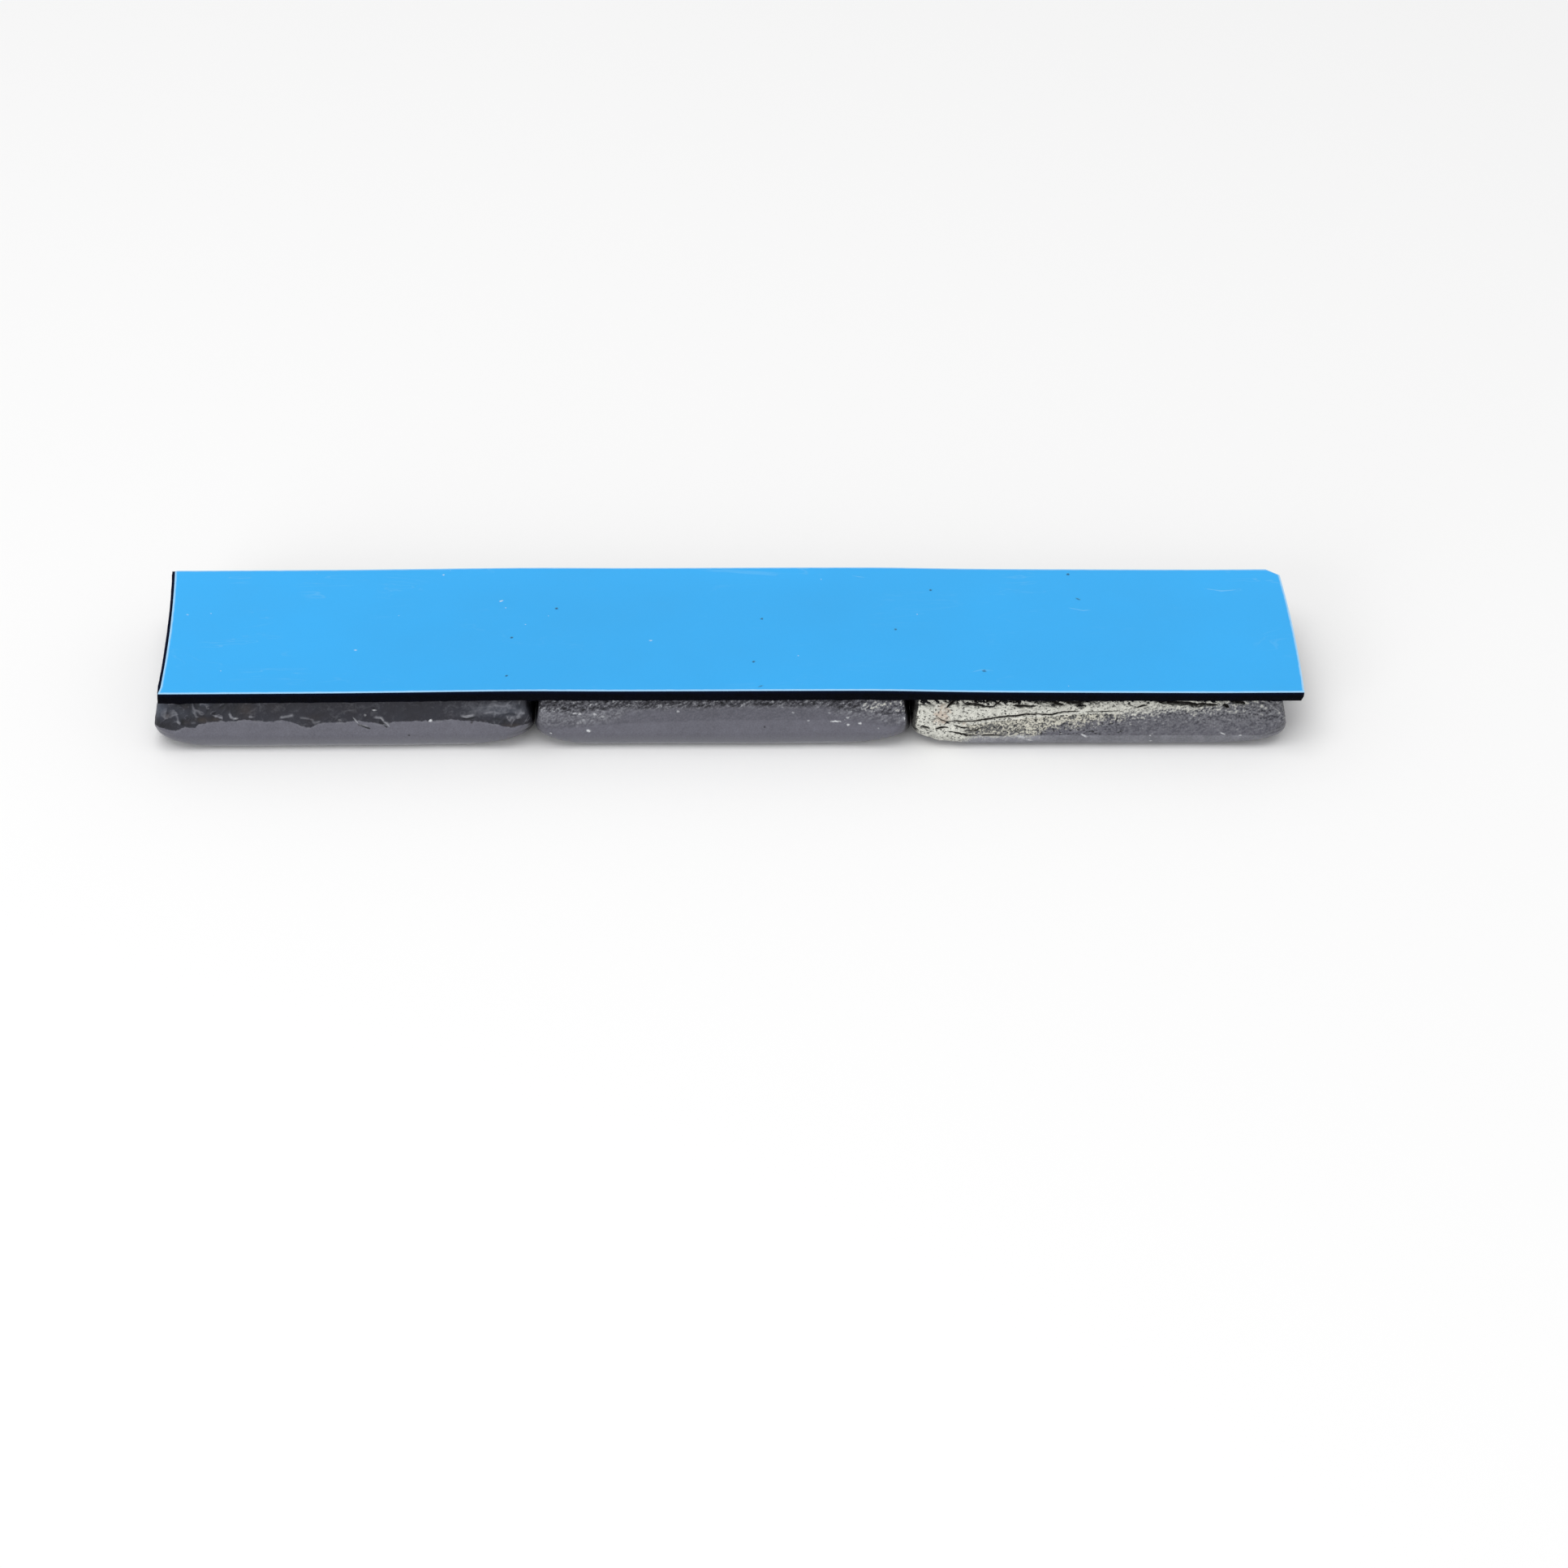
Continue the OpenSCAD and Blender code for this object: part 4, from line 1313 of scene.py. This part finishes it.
def build_foam(tape, material, seed):
    """The foam tape between the castings and the liner, with a ragged skin on its cut sides.

    The sides stand out by noise, and by 0.04 sin(pi t) mm at a share t of their height. Their
    lower edges hang a little below the face, most over the left half of the strip.
    """
    low, high = node_box("foam_tape")
    shares, faces = slab(*FOAM_STEPS)
    along, across, up = shares[:, 0], crowded(shares[:, 1], 0.75), shares[:, 2]
    x, y, _ = tape_plan(tape, low, high, along, across, catch_up=FOAM_CATCH_UP)
    x = x - tape.lean / MM * (1 - up) * along
    points = np.stack([x, y, low[2] + (high[2] - low[2]) * up], 1)
    side = np.zeros_like(points)
    side[:, :2] = (shares[:, :2] == 1).astype(float) - (shares[:, :2] == 0)
    rag = rough(points, 0.9, seed, 4, 0.65) * tape.roughness / MM
    bulge = 0.04 * np.sin(np.pi * up)
    moved = points + side * (rag * (0.35 + np.sin(np.pi * up)) + bulge)[:, None]
    crumbs = np.maximum(rough(points, 1.3, seed + 9, 3), 0) * 0.1
    hang = tape.hang / MM * (1 + 1.8 * ease(x, 34, 8)) + crumbs
    moved[:, 2] -= np.where((up == 0) & (side[:, 1] != 0), hang, 0)
    # The tint field is the height share that places the painted blue light from the liner.
    return make_mesh("foam_strip", settle(moved), [faces], {"tint": up}, material, sharp_angle=40)


def build_liner(tape, material, seed):
    """The liner: a thin film over the foam with slight ripples and edges that bend down a little.

    The ripples are noise that fades out over the last millimetre before the edge.
    """
    low, high = node_box("release_liner")
    shares, faces = slab(*LINER_STEPS)
    along, across, up = crowded(shares[:, 0], 0.35), crowded(shares[:, 1], 0.8), shares[:, 2]
    x, y, edge = tape_plan(tape, low, high, along, across, LINER_CORNER, LINER_CATCH_UP)
    flat = np.stack([x, y, x * 0], 1)
    ripple = tape.ripple / MM * (swell(flat, 6, seed) + 0.5 * swell(flat, 2.5, seed + 1))
    z = low[2] + (high[2] - low[2]) * up + ripple * ease(edge, 0.0, 1.0)
    z = z - 0.02 * ease(edge, 0.18, 0.0) * up
    wear = ease(x, -30, -56) * 0.8 + 0.5 * ease(y, 3, 11) + 0.3 * ease(x, 40, 56)
    signed, width = line_field(flat[:, :2], LINER_SCRATCHES)
    mark = mark_field(flat[:, :2], LINER_MARKS)
    mark[:, 2] *= up
    # Rim places the painted highlight along the cut edges, and under the painted shade low on the film.
    fields = {
        "rim": edge, "wear": wear, "line": signed, "line_width": width * up, "mark": mark, "under": 1 - up,
    }
    points = settle(np.stack([x, y, z], 1))
    return make_mesh("liner_film", points, [faces], fields, material, sharp_angle=50)


def hand_in(piece, node):
    """Fixes a piece to the part's one body and hides the frame's part that it stands for."""
    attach(piece, BODY)
    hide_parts(node)


class AddCastings(bpy.types.Operator):
    """Add the three cast lead blocks with their coat, grit, crust and cracks"""

    bl_idname = "balance_weight.add_castings"
    bl_label = "Add castings"

    def execute(self, context):
        shape, finish = context.scene.casting_shape, context.scene.casting_finish
        seed = context.scene.weight_stage.seed
        looks = (
            (left_wear, wrinkled_lead, "coated_lead"),
            (middle_wear, gritty_lead, "scuffed_lead"),
            (right_wear, whitened_lead, "bare_lead"),
        )
        for number, (node, (wear, material, slot)) in enumerate(zip(CAST_FORM, looks)):
            piece = build_casting(node, wear, material(finish), shape, seed + CASTING_SEEDS * number)
            hand_in(piece, node)
        return {"FINISHED"}


class AddFoam(bpy.types.Operator):
    """Add the black foam tape that carries the castings"""

    bl_idname = "balance_weight.add_foam"
    bl_label = "Add foam tape"

    def execute(self, context):
        scene = context.scene
        material = foam_material(scene.tape_finish)
        piece = build_foam(scene.tape_shape, material, scene.weight_stage.seed + FOAM_SEED)
        hand_in(piece, "foam_tape")
        return {"FINISHED"}


class AddLiner(bpy.types.Operator):
    """Add the blue release liner on top of the foam"""

    bl_idname = "balance_weight.add_liner"
    bl_label = "Add release liner"

    def execute(self, context):
        scene = context.scene
        material = liner_material(scene.tape_finish)
        piece = build_liner(scene.tape_shape, material, scene.weight_stage.seed + LINER_SEED)
        hand_in(piece, "release_liner")
        return {"FINISHED"}


def add_light(name, size, power, place, target):
    """A soft square lamp at a place, turned to face a target."""
    data = bpy.data.lights.new(name, "AREA")
    data.size = size
    data.energy = power
    lamp = bpy.data.objects.new(name, data)
    lamp.location = place
    lamp.rotation_euler = (target - Vector(place)).to_track_quat("-Z", "Y").to_euler()
    bpy.context.scene.collection.objects.link(lamp)


def seen_directly(graph):
    """1 for what the camera, a mirror or glass sees of the stage, 0 for the light that it gives back."""
    path = graph.node("ShaderNodeLightPath")
    names = ("Is Camera Ray", "Is Glossy Ray", "Is Transmission Ray")
    camera, glossy, glass = (Value(graph, path.outputs[name]) for name in names)
    return camera.larger(glossy).larger(glass)


class AddStage(bpy.types.Operator):
    """Add the pale floor, the soft lights and the camera"""

    bl_idname = "balance_weight.add_stage"
    bl_label = "Add stage"

    def execute(self, context):
        settings = context.scene.weight_stage
        self.add_floor(settings)
        self.add_world(settings)
        self.add_lights(settings)
        self.add_camera(context, settings)
        return {"FINISHED"}

    def add_floor(self, settings):
        """A flat square, three metres across, just under the castings' outer faces.

        Seen directly it is paler than the light it gives back, and glows further off, where the
        lamps hardly reach.
        """
        graph = new_material("pale_floor")
        seen = seen_directly(graph)
        tone = graph.mix(seen, scaled(settings.floor, 0.62), settings.floor)
        far = graph.distance().ease(200, 1200)
        glow = graph.mix(seen * far, (0.0, 0.0, 0.0), (0.5, 0.5, 0.5))
        others = {"Specular IOR Level": 0.0, "Emission Color": glow, "Emission Strength": 1.0}
        material = graph.surface(tone, 0.9, graph.noise(0.8, 2), depth=0.001, others=others)
        half, level = 1500.0, -0.02
        corners = [(-half, -half), (half, -half), (half, half), (-half, half)]
        points = np.array([(*corner, level) for corner in corners])
        floor = make_mesh("floor", points, [np.array([[0, 1, 2, 3]])], {}, material)

    def add_world(self, settings):
        """Even white light, shown as plain white behind the floor."""
        world = bpy.data.worlds.new("studio")
        graph = Graph(world)
        strength = seen_directly(graph) * (1 - settings.sky) + settings.sky
        light = graph.node("ShaderNodeBackground", {}, {"Color": (1, 1, 1, 1), "Strength": strength})
        graph.node("ShaderNodeOutputWorld", {}, {"Surface": light.outputs[0]})
        bpy.context.scene.world = world

    def add_lights(self, settings):
        """A broad key light nearly overhead and a weaker, low one from the front left."""
        middle = Vector((0, 0, 0.004))
        add_light("key_light", size=0.9, power=settings.key, place=(-0.12, -0.22, 1.0), target=middle)
        add_light("fill_light", size=0.5, power=settings.fill, place=(-0.45, -0.8, 0.26), target=middle)

    def add_camera(self, context, settings):
        """The camera at the photograph's pitch.

        It is placed so that one point of the liner's front edge falls on its own pixel of the frame.
        """
        frame_size, edge_pixel, edge_along = 1932, (900.5, 852.5), 0.415 * MM
        data = bpy.data.cameras.new("photo_camera")
        data.lens = settings.lens
        data.sensor_width = 36.0
        data.clip_start = 0.01
        camera = bpy.data.objects.new("photo_camera", data)
        low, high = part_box("release_liner")
        pitch = np.radians(settings.pitch)
        right = Vector((1, 0, 0))
        up = Vector((0, np.sin(pitch), np.cos(pitch)))
        ahead = Vector((0, np.cos(pitch), -np.sin(pitch)))
        focal = settings.lens / data.sensor_width * frame_size
        across = (edge_pixel[0] - frame_size / 2) / focal
        above = (frame_size / 2 - edge_pixel[1]) / focal
        edge = Vector((edge_along, low.y, high.z))
        place = edge - settings.distance * (ahead + across * right + above * up)
        turn = Matrix((right, up, -ahead)).transposed()
        camera.matrix_world = Matrix.Translation(place) @ turn.to_4x4()
        context.scene.collection.objects.link(camera)
        context.scene.camera = camera
        context.scene.view_settings.view_transform = "Standard"


class BalanceWeightPanel(bpy.types.Panel):
    """Lists the pieces of the balance weight in the sidebar"""

    bl_idname = "VIEW3D_PT_balance_weight"
    bl_label = "Balance weight"
    bl_space_type = "VIEW_3D"
    bl_region_type = "UI"
    bl_category = "Balance weight"

    def draw(self, context):
        for operator in (AddCastings, AddFoam, AddLiner, AddStage):
            self.layout.operator(operator.bl_idname)


GROUPS = {
    "casting_shape": CastingShape,
    "casting_finish": CastingFinish,
    "tape_shape": TapeShape,
    "tape_finish": TapeFinish,
    "weight_stage": StageSettings,
}
CLASSES = (*GROUPS.values(), AddCastings, AddFoam, AddLiner, AddStage, BalanceWeightPanel)


def register():
    for item in CLASSES:
        bpy.utils.register_class(item)
    for name, group in GROUPS.items():
        setattr(bpy.types.Scene, name, PointerProperty(type=group))


def unregister():
    for name in GROUPS:
        delattr(bpy.types.Scene, name)
    for item in reversed(CLASSES):
        bpy.utils.unregister_class(item)


def main():
    register()
    bpy.ops.balance_weight.add_castings()
    bpy.ops.balance_weight.add_foam()
    bpy.ops.balance_weight.add_liner()
    bpy.ops.balance_weight.add_stage()
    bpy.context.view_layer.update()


if __name__ == "__main__":
    main()
